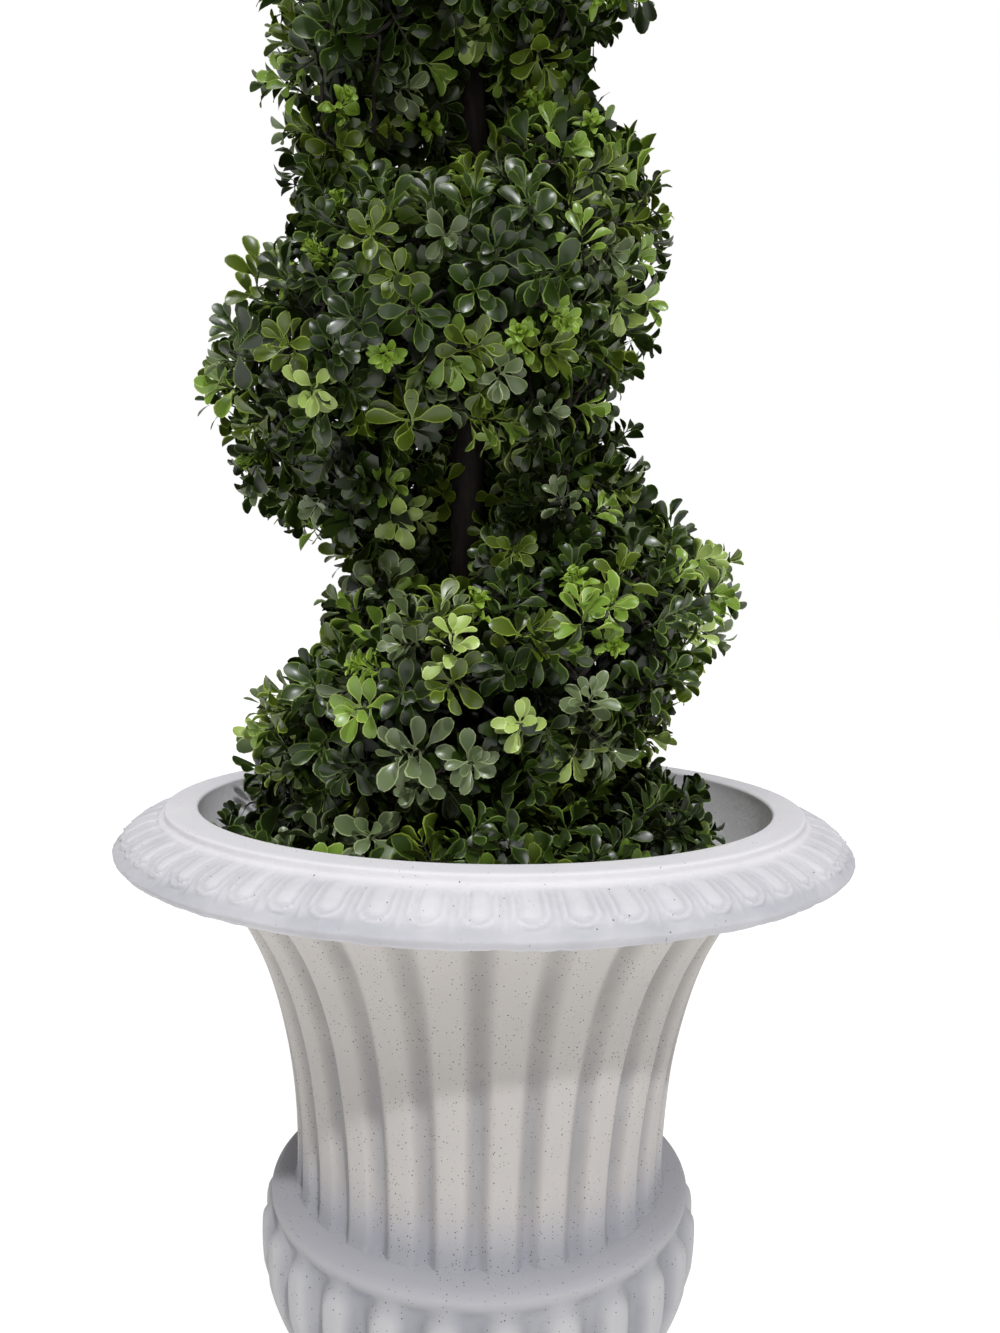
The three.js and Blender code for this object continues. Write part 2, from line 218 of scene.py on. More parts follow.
def finish_bmesh(bm, name):
    """Turns a bmesh into an object with merged doubles and faces pointing outwards."""
    bmesh.ops.remove_doubles(bm, verts=bm.verts, dist=1e-6)
    bmesh.ops.recalc_face_normals(bm, faces=bm.faces)
    mesh = bpy.data.meshes.new(name)
    bm.to_mesh(mesh)
    bm.free()
    return new_piece(name, mesh)


def settle(piece, materials, slot, *nodes):
    """Gives a finished piece its materials and body, and hides its CAD nodes; slot is not used."""
    for material in materials:
        piece.data.materials.append(material)
    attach(piece, "root")
    if nodes:
        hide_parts(*nodes)
    triangles = sum(len(p.vertices) - 2 for p in piece.data.polygons)
    print(f"{piece.name}: {triangles} triangles")


def points_of(mesh):
    """A mesh's vertices as an array, for a rule to move them all at once."""
    co = np.empty(len(mesh.vertices) * 3, np.float32)
    mesh.vertices.foreach_get("co", co)
    return co.reshape(-1, 3).astype(float)


def set_points(mesh, points):
    mesh.vertices.foreach_set("co", points.astype(np.float32).ravel())
    mesh.update()


def set_attribute(mesh, name, values):
    attribute = mesh.attributes.new(name, "FLOAT", "POINT")
    attribute.data.foreach_set("value", values.astype(np.float32))


# %% [markdown]
# ## Cast stone
# The urn is thin glass-fibre cement, cast in a mould and left matt. Such a casting is
# off-white; here its hollows and undersides are painted cooler and darker, as painted
# shade. Sand grains show as a fine scatter of dark specks. Two attributes follow the relief
# and not the camera: one is 1 at the bottom of the carving and where shade falls under and
# between parts, for the painted shade; the other is 1 where dust lies on the ledge, towards
# the bell's foot, and in the lit lower part of the flutes, where its cooler tint is painted light.
# Colours are laid on like coats of paint, each over the one before. Cement's refractive
# index is close to the shader's own 1.5, so that stays, and the roughness is high.

# %% Cast stone material
SPECK_HEX = "#5d5a58"
DUST_AND_PAINTED_LIGHT_HEX = "#a5a6ad"
SPECK_SPACING = 1.7 * MM  # finer on the real thing, and drawn as coarse as it needs to show
SPECK_RADII = (0.08, 0.24)  # in spacings
MOTTLE_SIZE = 45 * MM
GRAIN_SIZE = 1.4 * MM
PITTED_SIZE = 7 * MM


def cast_stone(part, stone_hex, stain_hex, painted_shade_hex, speck_share):
    """One copy of the cast stone, tinted for its part as painted light and shade; speck_share is
    how many grains show as dark specks.
    """
    material, tree, shader, place = start_material(f"glass_fibre_cement_{part}")
    painted_shade, dust_and_painted_light = (
        add(tree, "ShaderNodeAttribute", attribute_name=name).outputs["Fac"]
        for name in ("painted_shade", "dust_and_painted_light")
    )
    noises = (
        add(tree, "ShaderNodeTexNoise", {"Vector": place, "Scale": 1 / size, "Detail": detail})
        for size, detail in ((MOTTLE_SIZE, 4.0), (GRAIN_SIZE, 3.0), (PITTED_SIZE, 3.0))
    )
    mottle, grain, pitted = (made.outputs["Fac"] for made in noises)
    patchy = add(
        tree,
        "ShaderNodeMapRange",
        {"Value": mottle, "From Min": 0.3, "From Max": 0.6, "To Min": 0.6},
    )
    painted_shade_amount = add(
        tree, "ShaderNodeMath", {0: painted_shade, 1: patchy.outputs["Result"]}, operation="MULTIPLY"
    )
    grains = add(tree, "ShaderNodeTexVoronoi", {"Vector": place, "Scale": 1 / SPECK_SPACING})
    lottery = add(tree, "ShaderNodeSeparateColor", {"Color": grains.outputs["Color"]})
    low, high = SPECK_RADII
    size = add(
        tree,
        "ShaderNodeMapRange",
        {"Value": lottery.outputs["Green"], "To Min": low, "To Max": high},
    )
    crowding = add(
        tree,
        "ShaderNodeMapRange",
        {"Value": mottle, "From Min": 0.35, "From Max": 0.65,
         "To Min": 1 - 1.7 * speck_share, "To Max": 1 - 0.3 * speck_share},
    )
    dot = add(
        tree,
        "ShaderNodeMath",
        {0: grains.outputs["Distance"], 1: size.outputs["Result"]},
        operation="LESS_THAN",
    )
    chosen = add(
        tree,
        "ShaderNodeMath",
        {0: lottery.outputs["Red"], 1: crowding.outputs["Result"]},
        operation="GREATER_THAN",
    )
    speck = add(
        tree, "ShaderNodeMath", {0: dot.outputs[0], 1: chosen.outputs[0]}, operation="MULTIPLY"
    )
    colour = linear(stone_hex)
    # Coats in turn: random stain; painted shade in the hollows and under overhangs; dust, with a
    # cooler tint that is partly painted light; then dark specks.
    coats = (
        (mottle, stain_hex),
        (painted_shade_amount.outputs[0], painted_shade_hex),
        (dust_and_painted_light, DUST_AND_PAINTED_LIGHT_HEX),
        (speck.outputs[0], SPECK_HEX),
    )
    for amount, coat_hex in coats:
        coat = add(
            tree, "ShaderNodeMix", {0: amount, 6: colour, 7: linear(coat_hex)}, data_type="RGBA"
        )
        colour = coat.outputs[2]
    tree.links.new(colour, shader.inputs["Base Color"])
    fine = set_surface(tree, shader, grain, (0.72, 0.92), (0.5, 0.35 * MM))
    wavy = add(
        tree,
        "ShaderNodeBump",
        {"Height": pitted, "Strength": 0.5, "Distance": 0.8 * MM, "Normal": fine},
    )
    tree.links.new(wavy.outputs["Normal"], shader.inputs["Normal"])
    return material


# The rim, body and base take three copies of the one stone, the rim's lighter and cooler and the
# body's darker and warmer: painted light and painted shade for how light falls on each.
RIM_STONE = cast_stone("rim", "#e4e2e4", "#d9d7db", "#9b9da4", 0.05)
BODY_STONE = cast_stone("body", "#cac5c0", "#beb9b5", "#8a8683", 0.6)
BASE_STONE = cast_stone("base", "#c2c1c2", "#b7b6b8", "#97989e", 0.25)
print("cast stone:", [m.name for m in (RIM_STONE, BODY_STONE, BASE_STONE)])

# %% [markdown]
# ## Turned shapes
# A potter's wheel shape is a profile turned about an axis, which is what Spin does. The
# profile is a chain of vertices, evenly spaced by resampling, and the carving is then
# pressed into the spun wall by moving its vertices along the wall's own normals.

# %% Profile helpers
def curve(*spans):
    """Joins straight and quadratic spans, in mm, into one chain of (radius, depth)."""
    chain = [spans[0]]
    for span in spans[1:]:
        start = chain[-1]
        if len(span) == 2:
            chain.append(span)
            continue
        bend, end = span[:2], span[2:]
        for t in np.linspace(0, 1, 13)[1:]:
            chain.append(
                tuple(
                    (1 - t) ** 2 * start[k] + 2 * t * (1 - t) * bend[k] + t * t * end[k]
                    for k in (0, 1)
                )
            )
    return np.array(chain, float)


def resample(chain, spacing):
    """The same chain with points no further apart than spacing, and its corners kept."""
    points = [chain[0]]
    for a, b in zip(chain[:-1], chain[1:]):
        count = max(1, math.ceil(np.linalg.norm(b - a) / spacing))
        points += [a + (b - a) * k / count for k in range(1, count + 1)]
    return np.array(points)


def spin_profile(name, chain, steps, closed=True):
    """Spins a chain of (radius, depth below the lip), in mm, once round the urn's axis."""
    bm = bmesh.new()
    verts = [bm.verts.new((r * MM, 0, LIP_Z + d * MM)) for r, d in chain]
    edges = [bm.edges.new(pair) for pair in zip(verts[:-1], verts[1:])]
    if closed:
        edges.append(bm.edges.new((verts[-1], verts[0])))
    bmesh.ops.spin(
        bm,
        geom=verts + edges,
        cent=(0, 0, 0),
        axis=(0, 0, 1),
        angle=2 * math.pi,
        steps=steps,
        use_merge=True,
    )
    return finish_bmesh(bm, name)


def polar(points):
    """Radius in mm, angle from the front, and depth below the lip in mm."""
    radius = np.hypot(points[:, 0], points[:, 1]) / MM
    angle = np.arctan2(points[:, 0], -points[:, 1])
    return radius, angle, (points[:, 2] - LIP_Z) / MM


def place_in_division(angle, count):
    """-1 to 1 across one of count equal divisions, with 0 at its middle."""
    turns = angle * count / (2 * math.pi)
    return 2 * (turns - np.round(turns))


# %% [markdown]
# ## The rim
# The urn's rim has a flat lip, a small step and a bulging ovolo, carved all round with
# egg-and-dart: a raised tongue, a raised border round it, and a thin dart between
# neighbours. The moulding is shallow and soft, as paint and casting leave it. There are
# sixty tongues, so the wall is spun in 12 steps for each. Only the ovolo needs a fine
# profile; the plain underside and lip take longer steps.

# %% Rim
EGG_COUNT = 60
EGG_RELIEF = 2.1
FLARE_HALF_WIDTH = 10.3  # half of one tongue's division at the rim, mm
CARVED_SPACING, PLAIN_SPACING = 1.9, 4.5
JOINT_DEPTH = -48.0  # where the rim meets the bell, mm below the lip
WALL = 13  # the casting's thickness, mm
STEP_RADIUS, STEP_DEPTH = 185.5, -4.6  # where the carving starts


def bell_radius(depth):
    """The fluted bell's radius in mm at a depth below the lip in mm."""
    s = np.maximum(0, (depth + 210) / 160)
    return 109.5 + 33 * s**2 + 8 * s**6


def egg_height(across, along):
    """Height of the carving, 0 to 1: across and along the slope in mm, from the step."""
    reach = np.hypot(across, np.maximum(along - 17.5, 0))
    tongue = 0.8 * np.sqrt(np.clip(1 - (reach / 4.9) ** 4, 0, 1))
    border = np.clip(1 - np.abs(reach - 7.1) / 1.6, 0, 1)
    border = border * border * (3 - 2 * border)
    dart = np.clip(1 - (FLARE_HALF_WIDTH - np.abs(across)) / 1.3, 0, 1)
    carved = np.maximum(np.maximum(tongue, 0.9 * border), 0.5 * dart)
    start = np.clip(along / 4, 0, 1)
    end = np.clip((28 - along) / 3, 0, 1)
    return carved * start * end


def make_rim():
    joint = bell_radius(JOINT_DEPTH)
    underside = curve((joint - 8, JOINT_DEPTH), (joint - 2, -33), (176, -32, 201, -26.5))
    ovolo = curve(
        underside[-1],
        (208.8, -25.5, RIM_RADIUS / MM - 0.2, -20),
        (204.5, -8.5, STEP_RADIUS, STEP_DEPTH),
        (183.8, -3.6),
        (183.5, -1.2),
    )
    lip = curve(
        ovolo[-1],
        (183.2, -0.2, 181.5, 0),
        (167.5, 0),
        (165.7, -0.2, 165.5, -2),
        (160, -24, joint - WALL, JOINT_DEPTH - 0.3),
    )
    underside = resample(underside, PLAIN_SPACING)
    ovolo, lip = resample(ovolo, CARVED_SPACING), resample(lip, PLAIN_SPACING)
    chain = np.concatenate([underside, ovolo[1:], lip[1:]])
    rim = spin_profile("urn_rim_carved", chain, EGG_COUNT * 12)
    points = points_of(rim.data)
    radius, angle, depth = polar(points)
    normal = np.zeros(len(points) * 3, np.float32)
    rim.data.vertices.foreach_get("normal", normal)
    normal = normal.reshape(-1, 3)
    slope = (radius > 184) & (depth > -27) & (depth < -3.0) & (normal[:, 2] > -0.15)
    along = np.hypot(radius - STEP_RADIUS, depth - STEP_DEPTH) * 1.06
    half = math.pi * radius / EGG_COUNT
    across = place_in_division(angle, EGG_COUNT) * half * FLARE_HALF_WIDTH / 10.2
    height = np.where(slope, egg_height(across, along), 0)
    fade = np.clip((along - 0.5) / 2, 0, 1) * np.clip((32 - along) / 6, 0, 1)
    sunk = np.where(slope, (1 - height) * fade, 0)
    worn = np.array([noise.fractal(Vector(p) * 45, 0.8, 2.2, 3) for p in points])
    rough = np.array([noise.fractal(Vector(p) * 170, 0.7, 2.3, 3) for p in points])
    outer = np.clip((radius - 184) / 8, 0, 1)
    lift = np.where(slope, -EGG_RELIEF * sunk * 0.9 * (1 + 0.7 * worn), 0)
    lift = lift + outer * (0.45 * worn + 0.35 * rough)
    set_points(rim.data, points + normal * (lift * MM)[:, None])
    # The carving's hollows, the outer slope and the rim's underside are darkened where shade
    # falls: painted shade.
    under = np.clip((along - 23) / 7, 0, 1) * (radius > 195)
    set_attribute(rim.data, "painted_shade", 0.17 * outer + 0.38 * sunk + 0.35 * under)
    settle(rim, [RIM_STONE], "cast_stone", "urn_rim")


make_rim()

# %% [markdown]
# ## The bell and the bowl
# The bell is a flaring wall with 26 shallow flutes and a flat fillet between each pair.
# The bowl under it swells into 26 gadroons, which are flutes turned inside out. Both are
# spun, then every vertex is pushed in by a rule that reads its angle and height. The
# flutes' channels and the gadroons' valleys are painted darker, as painted shade, and the
# lit lower part of the channels cooler, as painted light. The bell darkens towards its
# foot, and dust lies on the ledge that the bell stands on. The bell's inside faces take
# the rim's paler stone, which paints light on the shaded inner wall.

# %% Fluted bell
DIVISIONS = 26
STEPS_PER_DIVISION = 16
FLUTE_DEPTH = 5.0
CHANNEL_SHARE = 0.56
BELL_FOOT = -223.2  # mm below the lip


def make_bell():
    outer = [(bell_radius(d), d) for d in np.linspace(-30.0, -212, 66)]
    cove = curve(outer[-1], (bell_radius(-219), -222, 112, BELL_FOOT))
    inner = [(bell_radius(d) - WALL, d) for d in np.linspace(BELL_FOOT, -47.0, 12)]
    chain = np.array([*outer, *cove[1:], *inner])
    bell = spin_profile("urn_bell_fluted", chain, DIVISIONS * STEPS_PER_DIVISION)
    points = points_of(bell.data)
    radius, angle, depth = polar(points)
    outside = radius > bell_radius(depth) - 5
    across = np.clip(np.abs(place_in_division(angle, DIVISIONS)) / CHANNEL_SHARE, 0, 1)
    channel = (0.5 + 0.5 * np.cos(math.pi * across)) ** 0.8
    cut = np.where(outside, FLUTE_DEPTH * channel, 0)
    edge = np.array([noise.noise(Vector(p) * 25) for p in points]) * 0.5
    scale = (radius - cut + np.where(outside, edge, 0)) / radius
    points[:, :2] *= scale[:, None]
    set_points(bell.data, points)
    # The channels are darkened as painted shade, their lit lower part takes a cooler tint as
    # painted light, and the bell grows darker and cooler towards its foot.
    foot_darkening = np.clip((-depth - 180) / 34, 0, 1) ** 1.5
    painted_light_in_flutes = 0.35 * channel * np.clip((-depth - 95) / 45, 0, 1)
    set_attribute(bell.data, "painted_shade", np.where(outside, 0.64 * channel, 0))
    dust_and_painted_light = np.maximum(0.9 * foot_darkening, painted_light_in_flutes)
    set_attribute(bell.data, "dust_and_painted_light", np.where(outside, dust_and_painted_light, 0))
    # The inside faces take the rim's paler stone: painted light on the shaded inner wall.
    settle(bell, [BODY_STONE, RIM_STONE], "cast_stone", "urn_bell")
    for face in bell.data.polygons:
        face.material_index = int(not any(outside[v] for v in face.vertices))


make_bell()

# %% Gadrooned bowl
GADROON_DEPTH = 8.0
LOBE_HALF_WIDTH = 15.5  # half of one gadroon at the bulge, mm
LOBE_SHOULDER_DEPTH = -246  # where a gadroon's rounded top starts, mm below the lip
BOWL_TOP = -222.6


def make_bowl():
    chain = curve(
        (0, -357.2),
        (44, -357.2),
        (82, -352, 104.5, -320),
        (123, -292, 128.3, -268),
        (130.8, -247, 127.5, -235),
        (125.8, -228.5, 121, -225),
        (117, -223.2, 112, BOWL_TOP),
        (100, BOWL_TOP),
        (0, BOWL_TOP),
    )
    steps = DIVISIONS * STEPS_PER_DIVISION
    bowl = spin_profile("urn_bowl_gadrooned", resample(chain, 3.2), steps, closed=False)
    points = points_of(bowl.data)
    radius, angle, depth = polar(points)
    from_lobe = 1 - np.abs(place_in_division(angle, DIVISIONS))
    above = np.maximum(depth - LOBE_SHOULDER_DEPTH, 0) / LOBE_HALF_WIDTH
    reach = np.clip(np.hypot(from_lobe, above), 0, 1)
    valley = 0.5 - 0.5 * np.cos(math.pi * np.clip((reach - 0.25) / 0.75, 0, 1))
    fade = np.interp(depth, (-354, -325, -260, -237, -228), (0, 0.9, 1, 0.8, 0))
    cut = GADROON_DEPTH * fade * valley * np.clip(radius / 128, 0, 1)
    scale = np.where(radius > 1, (radius - cut) / np.maximum(radius, 1), 1)
    points[:, :2] *= scale[:, None]
    set_points(bowl.data, points)
    # The gadroons' valleys are darkened as painted shade; dust lies on the ledge.
    ledge = np.clip((depth + 232) / 6, 0, 1)
    set_attribute(bowl.data, "painted_shade", np.clip(cut / 5, 0, 1))
    set_attribute(bowl.data, "dust_and_painted_light", 0.65 * ledge)
    settle(bowl, [BASE_STONE], "cast_stone", "urn_bowl")


make_bowl()

# %% [markdown]
# ## Stem, foot and plinth
# A short waisted stem with a ring joins the bowl to a round foot on a square plinth. The
# plinth is a cube, scaled, with its edges bevelled and its faces cut finely.

# %% Foot
def make_foot():
    top, base = (FOOT_HIGH.z - LIP_Z) / MM, (FOOT_LOW.z - LIP_Z) / MM
    chain = curve(
        (0, base),
        (93, base),
        (98, base + 6, 93, base + 12),
        (90, base + 12.6),
        (86, base + 13.5),
        (84, base + 14.5),
        (46, base + 22, 41, top - 16),
        (43, top - 15.6),
        (46, top - 15),
        (51, top - 8, 46, top - 1),
        (44, top + 0.4),
        (0, top + 0.4),
    )
    foot = spin_profile("urn_foot_turned", resample(chain, 2.4), 128, closed=False)
    _, _, depth = polar(points_of(foot.data))
    # The foot darkens towards its base, where it meets the plinth: painted shade.
    set_attribute(foot.data, "painted_shade", np.clip((base + 32 - depth) / 30, 0, 0.7))
    settle(foot, [BASE_STONE], "cast_stone", "urn_foot")


make_foot()


# %% Plinth
def make_plinth():
    bm = bmesh.new()
    size = PLINTH_HIGH - PLINTH_LOW
    bmesh.ops.create_cube(bm, size=1)
    bmesh.ops.scale(bm, vec=size, verts=bm.verts)
    bmesh.ops.translate(bm, vec=(PLINTH_HIGH + PLINTH_LOW) / 2, verts=bm.verts)
    bmesh.ops.bevel(
        bm,
        geom=bm.edges,
        offset=2.2 * MM,
        affect="EDGES",
        segments=4,
        profile=0.5,
        material=-1,
    )
    long_edges = [e for e in bm.edges if e.calc_length() > 10 * MM]
    bmesh.ops.subdivide_edges(bm, edges=long_edges, cuts=24, use_grid_fill=True)
    plinth = finish_bmesh(bm, "urn_plinth_slab")
    points = points_of(plinth.data)
    # The plinth's top and upper edge are darkened under the urn: painted shade.
    sunk = (points[:, 2] > PLINTH_HIGH.z - 3 * MM).astype(float) * 0.6
    set_attribute(plinth.data, "painted_shade", sunk)
    settle(plinth, [BASE_STONE], "cast_stone", "urn_plinth")


make_plinth()

# %% [markdown]
# ## Potting mix
# Between the leaves and the wall the filler shows as dark, crumbly shade. It is a turned
# plug, its top roughened with noise, finished in a bark-based potting mix: fibres and
# crumbs two to six millimetres across in several browns.

# %% Potting mix
CRUMB_SIZE = 4 * MM
SOIL_FOOT = -221.8  # mm below the lip


def potting_mix():
    material, tree, shader, place = start_material("potting_mix_crumbs")
    crumbs = add(tree, "ShaderNodeTexVoronoi", {"Vector": place, "Scale": 1 / CRUMB_SIZE})
    hue = add(tree, "ShaderNodeSeparateColor", {"Color": crumbs.outputs["Color"]})
    brown = add(
        tree,
        "ShaderNodeMix",
        {0: hue.outputs["Green"], 6: linear("#2a1f18"), 7: linear("#54443a")},
        data_type="RGBA",
    )
    tree.links.new(brown.outputs[2], shader.inputs["Base Color"])
    shader.inputs["Roughness"].default_value = 0.95
    bump = add(
        tree,
        "ShaderNodeBump",
        {"Height": crumbs.outputs["Distance"], "Strength": 1.0, "Distance": 2 * MM},
    )
    tree.links.new(bump.outputs["Normal"], shader.inputs["Normal"])
    return material


def make_soil():
    top = (SOIL_Z - LIP_Z) / MM
    inner = WALL + 0.4
    wall = [(bell_radius(d) - inner, d) for d in np.linspace(SOIL_FOOT, top - 2, 10)]
    chain = resample(np.array([(0, SOIL_FOOT), *wall, (0, top - 2)]), 4)
    soil = spin_profile("potting_mix_fill", chain, 120, closed=False)
    points = points_of(soil.data)
    on_top = points[:, 2] > SOIL_Z - 2.5 * MM
    rough = np.array([noise.fractal(Vector(p) * 160, 1.0, 2.0, 4) for p in points])
    points[:, 2] += np.where(on_top, np.clip(rough, -1, 1) * 1.6 * MM, 0)
    set_points(soil.data, points)
    settle(soil, [potting_mix()], "potting_mix", "soil")


make_soil()

# %% [markdown]
# ## The trunk
# The trunk of an artificial topiary is a real or cast pole with rough bark, a little
# crooked, flaring where it enters the pot. A cone is cut into rings and its vertices are
# bent along the trunk's line. Bark is not a picture here: long, torn ridges are pressed
# into the mesh with noise that is stretched along the trunk.

# %% Bark material
RIDGE_SIZE = 5 * MM


def trunk_bark():
    material, tree, shader, place = start_material("rough_brown_bark")
    stretched = add(tree, "ShaderNodeMapping", {"Vector": place, "Scale": (1.0, 1.0, 0.25)})
    ridges = add(
        tree,
        "ShaderNodeTexNoise",
        {"Vector": stretched.outputs["Vector"], "Scale": 1 / RIDGE_SIZE, "Detail": 6.0,
         "Roughness": 0.65},
    )
    brown = add(tree, "ShaderNodeValToRGB", {"Fac": ridges.outputs["Fac"]})
    # Both stops are darker than the bark's own brown: painted shade for the shadow that the trunk
    # stands in.
    stops = ((0.35, "#0d0a08"), (0.68, "#30261e"))
    for element, (position, hex_colour) in zip(brown.color_ramp.elements, stops):
        element.position = position
        element.color = linear(hex_colour)
    tree.links.new(brown.outputs["Color"], shader.inputs["Base Color"])
    set_surface(tree, shader, ridges.outputs["Fac"], (0.7, 0.95), (0.8, 1.2 * MM))
    return material


BARK = trunk_bark()
print("bark ridges, mm:", RIDGE_SIZE / MM, "across and four times as long")

# %% Trunk
BARK_RELIEF = 1.3 * MM


def make_trunk():
    foot, top = TRUNK_LOW.z - LIP_Z, TRUNK_HIGH.z - LIP_Z
    bm = bmesh.new()
    bmesh.ops.create_cone(
        bm, cap_ends=True, cap_tris=False, segments=30, radius1=1, radius2=1, depth=1
    )
    upright = [e for e in bm.edges if abs(e.verts[0].co.z - e.verts[1].co.z) > 0.5]
    bmesh.ops.subdivide_edges(bm, edges=upright, cuts=230, use_grid_fill=True)
    trunk = finish_bmesh(bm, "trunk_bark_relief")
    points = points_of(trunk.data)
    rise = foot + (top - foot) * (points[:, 2] + 0.5) ** 1.1
    middle = trunk_middle(rise)
    radius = trunk_radius(rise)
    for i, (x, y, _) in enumerate(points):
        around = Vector((x * 1.6, y * 1.6, rise[i] * 22))
        ridge = noise.ridged_multi_fractal(around, 0.9, 2.1, 4, 1.0, 2.0)
        knot = noise.noise(Vector((x, y, rise[i] * 60)))
        radius[i] += BARK_RELIEF * ((ridge - 1.1) * 0.8 + knot * 0.7)
    points = middle + np.stack([points[:, 0] * radius, points[:, 1] * radius, 0 * radius], axis=-1)
    set_points(trunk.data, points)
    settle(trunk, [BARK], "bark", "trunk")


make_trunk()

# %% [markdown]
# ## How the leaves are laid out
# The topiary is made by pushing short moulded sprigs into wire boughs until no wire
# shows. The order here is the same. First the clipped surface is scattered with
# evenly spaced points, one for the end of each sprig. Then boughs leave the trunk, fork
# and fork again inside the band. Each sprig grows on its own twig from the nearest fork.

# %% The clipped surfaces
TIP_HALF_HEIGHT, TIP_WAIST = 60 * MM, 53 * MM
FULL_END, FULL_FADE = 0.4, 0.15  # turns; the mouth is filled up on the left and in front
SKIRT_FULLNESS = 20 * MM  # how much the skirt rises there
CORE_FULLNESS = 38 * MM  # how much the first turn thickens there to meet it

rng = np.random.default_rng(193)


def squared(wave):
    return np.sign(wave) * np.abs(wave) ** BAND_SQUARENESS


def lump(angle, around):
    return (
        0.035 * np.sin(3.1 * angle + 2 * around)
        + 0.03 * np.sin(7.3 * angle - around)
        + 0.025 * np.sin(5.2 * angle + 3 * around)
    )


def filled_up(turns):
    """1 on the left and in front, fading to 0 towards the right."""
    return np.clip((FULL_END - turns) / FULL_FADE, 0, 1)


def section_at(turns, skirt):
    """Middle radius, middle rise and the two half sizes of the leafy band."""
    outer = crown_radius(turns)
    middle = (outer + BAND_INNER_RADIUS) / 2
    across = (outer - BAND_INNER_RADIUS) / 2
    rise = spiral_rise(turns)
    upright = band_half_height(turns)
    if not skirt:
        return middle, rise, across, upright
    floor = SOIL_Z - LIP_Z
    fuller = SKIRT_FULLNESS * filled_up(turns)
    top = skirt_top(turns) + fuller
    middle = 80 * MM + 0.5 * fuller
    return middle, (top + floor) / 2 - 4 * MM, middle - 13 * MM, (top - floor) / 2 + 4 * MM


def core_share(turns, radius, way):
    """How far a turn has thickened to meet the one above (way 1) or below (way -1)."""
    neighbour = turns + way
    over_skirt = (way < 0) & (turns > SKIRT_START) & (turns < SKIRT_END)
    meets = (neighbour > SPIRAL_START) & (neighbour < SPIRAL_END) | over_skirt
    extra = np.where(over_skirt, SKIRT_CORE_EXTRA + CORE_FULLNESS * filled_up(turns), 0)
    groove = groove_radius(turns + way / 2) + CORE_BLEND * 0.7 + extra
    step = np.clip((groove + CORE_BLEND - radius) / (2 * CORE_BLEND), 0, 1)
    in_front = (np.cos(2 * math.pi * (turns - SLOT_TURN)) > 0) & ~over_skirt
    slot = np.where(in_front, slot_opening(turns), 0)
    return np.where(meets, step * step * (3 - 2 * step) * (1 - slot), 0)


def band_surface(turns, around, depth, skirt):
    """Points a depth inside the clipped surface of the band or of the skirt."""
    angle = math.pi + 2 * math.pi * turns
    middle, rise, across, upright = section_at(turns, skirt)
    swell = 1 + lump(angle, around)
    radius = middle + np.maximum(across - depth, 8 * MM) * swell * squared(np.cos(around))
    height = rise + np.maximum(upright - depth, 8 * MM) * swell * squared(np.sin(around))
    if not skirt:
        way = np.sign(np.sin(around))
        over_skirt = (way < 0) & (turns > SKIRT_START) & (turns < SKIRT_END)
        halfway = (rise + spiral_rise(turns + way)) / 2
        meeting = np.where(over_skirt, skirt_top(turns), halfway) - way * (CORE_GAP + depth * 0.3)
        core = rise + (meeting - rise) * np.abs(np.sin(around)) ** CORE_SQUARENESS
        height = height + (core - height) * core_share(turns, radius, way)
    spoke = np.stack([np.cos(angle), np.sin(angle), np.zeros_like(angle)], axis=-1)
    return trunk_middle(height) + spoke * radius[:, None]


def band_place(turns, around, depth, skirt=False):
    """The same points with the surface's outward direction there."""
    points = band_surface(turns, around, depth, skirt)
    along = band_surface(turns + 1e-3, around, depth, skirt) - points
    over = band_surface(turns, around + 1e-2, depth, skirt) - points
    outward = np.cross(along, over)
    return points, outward / np.maximum(np.linalg.norm(outward, axis=1), 1e-12)[:, None]


def tip_place(turn, lift, depth):
    """The same for the rounded tip; lift is -1 at its foot and 1 at its top."""
    rise = TIP_TOP - LIP_Z - TIP_HALF_HEIGHT + lift * (TIP_HALF_HEIGHT - depth)
    waist = TIP_WAIST * (1 - 0.2 * lift)
    ring = np.sqrt(np.clip(1 - lift**2, 0, 1))
    spoke = np.stack([np.cos(turn), np.sin(turn), np.zeros_like(turn)], axis=-1)
    points = trunk_middle(rise) + spoke * (np.maximum(waist - depth, 4 * MM) * ring)[:, None]
    outward = spoke * ring[:, None]
    outward[:, 2] += lift
    return points, outward / np.linalg.norm(outward, axis=1)[:, None]


print("band's half height by turn, mm:", (band_half_height(np.arange(5)) / MM).round(0))


# %% Scattered sprig ends
def spread(points, spacing):
    """Indices of points that keep at least that spacing, taken in order."""
    cells = {}
    kept = []
    for i, p in enumerate(points):
        key = tuple((p // spacing).astype(int))
        near = [
            cells[(key[0] + a, key[1] + b, key[2] + c)]
            for a in (-1, 0, 1)
            for b in (-1, 0, 1)
            for c in (-1, 0, 1)
            if (key[0] + a, key[1] + b, key[2] + c) in cells
        ]
        if any(np.dot(p - q, p - q) < spacing**2 for group in near for q in group):
            continue
        cells.setdefault(key, []).append(p)
        kept.append(i)
    return np.array(kept)


def clear_of_neighbours(points):
    """Leaves out points inside the trunk, under the soil or too near the urn's wall."""
    rise = points[:, 2] - LIP_Z
    from_trunk = np.hypot(*(points - trunk_middle(rise))[:, :2].T)
    from_axis = np.hypot(points[:, 0], points[:, 1])
    in_urn = rise < 10 * MM
    wall = np.interp(rise, (-55 * MM, -48 * MM, -13 * MM), (120 * MM, 126 * MM, 154 * MM))
    return (
        (from_trunk > trunk_radius(rise) + 9 * MM)
        & (points[:, 2] > SOIL_Z + 6 * MM)
        & ~(in_urn & (from_axis > wall))
    )


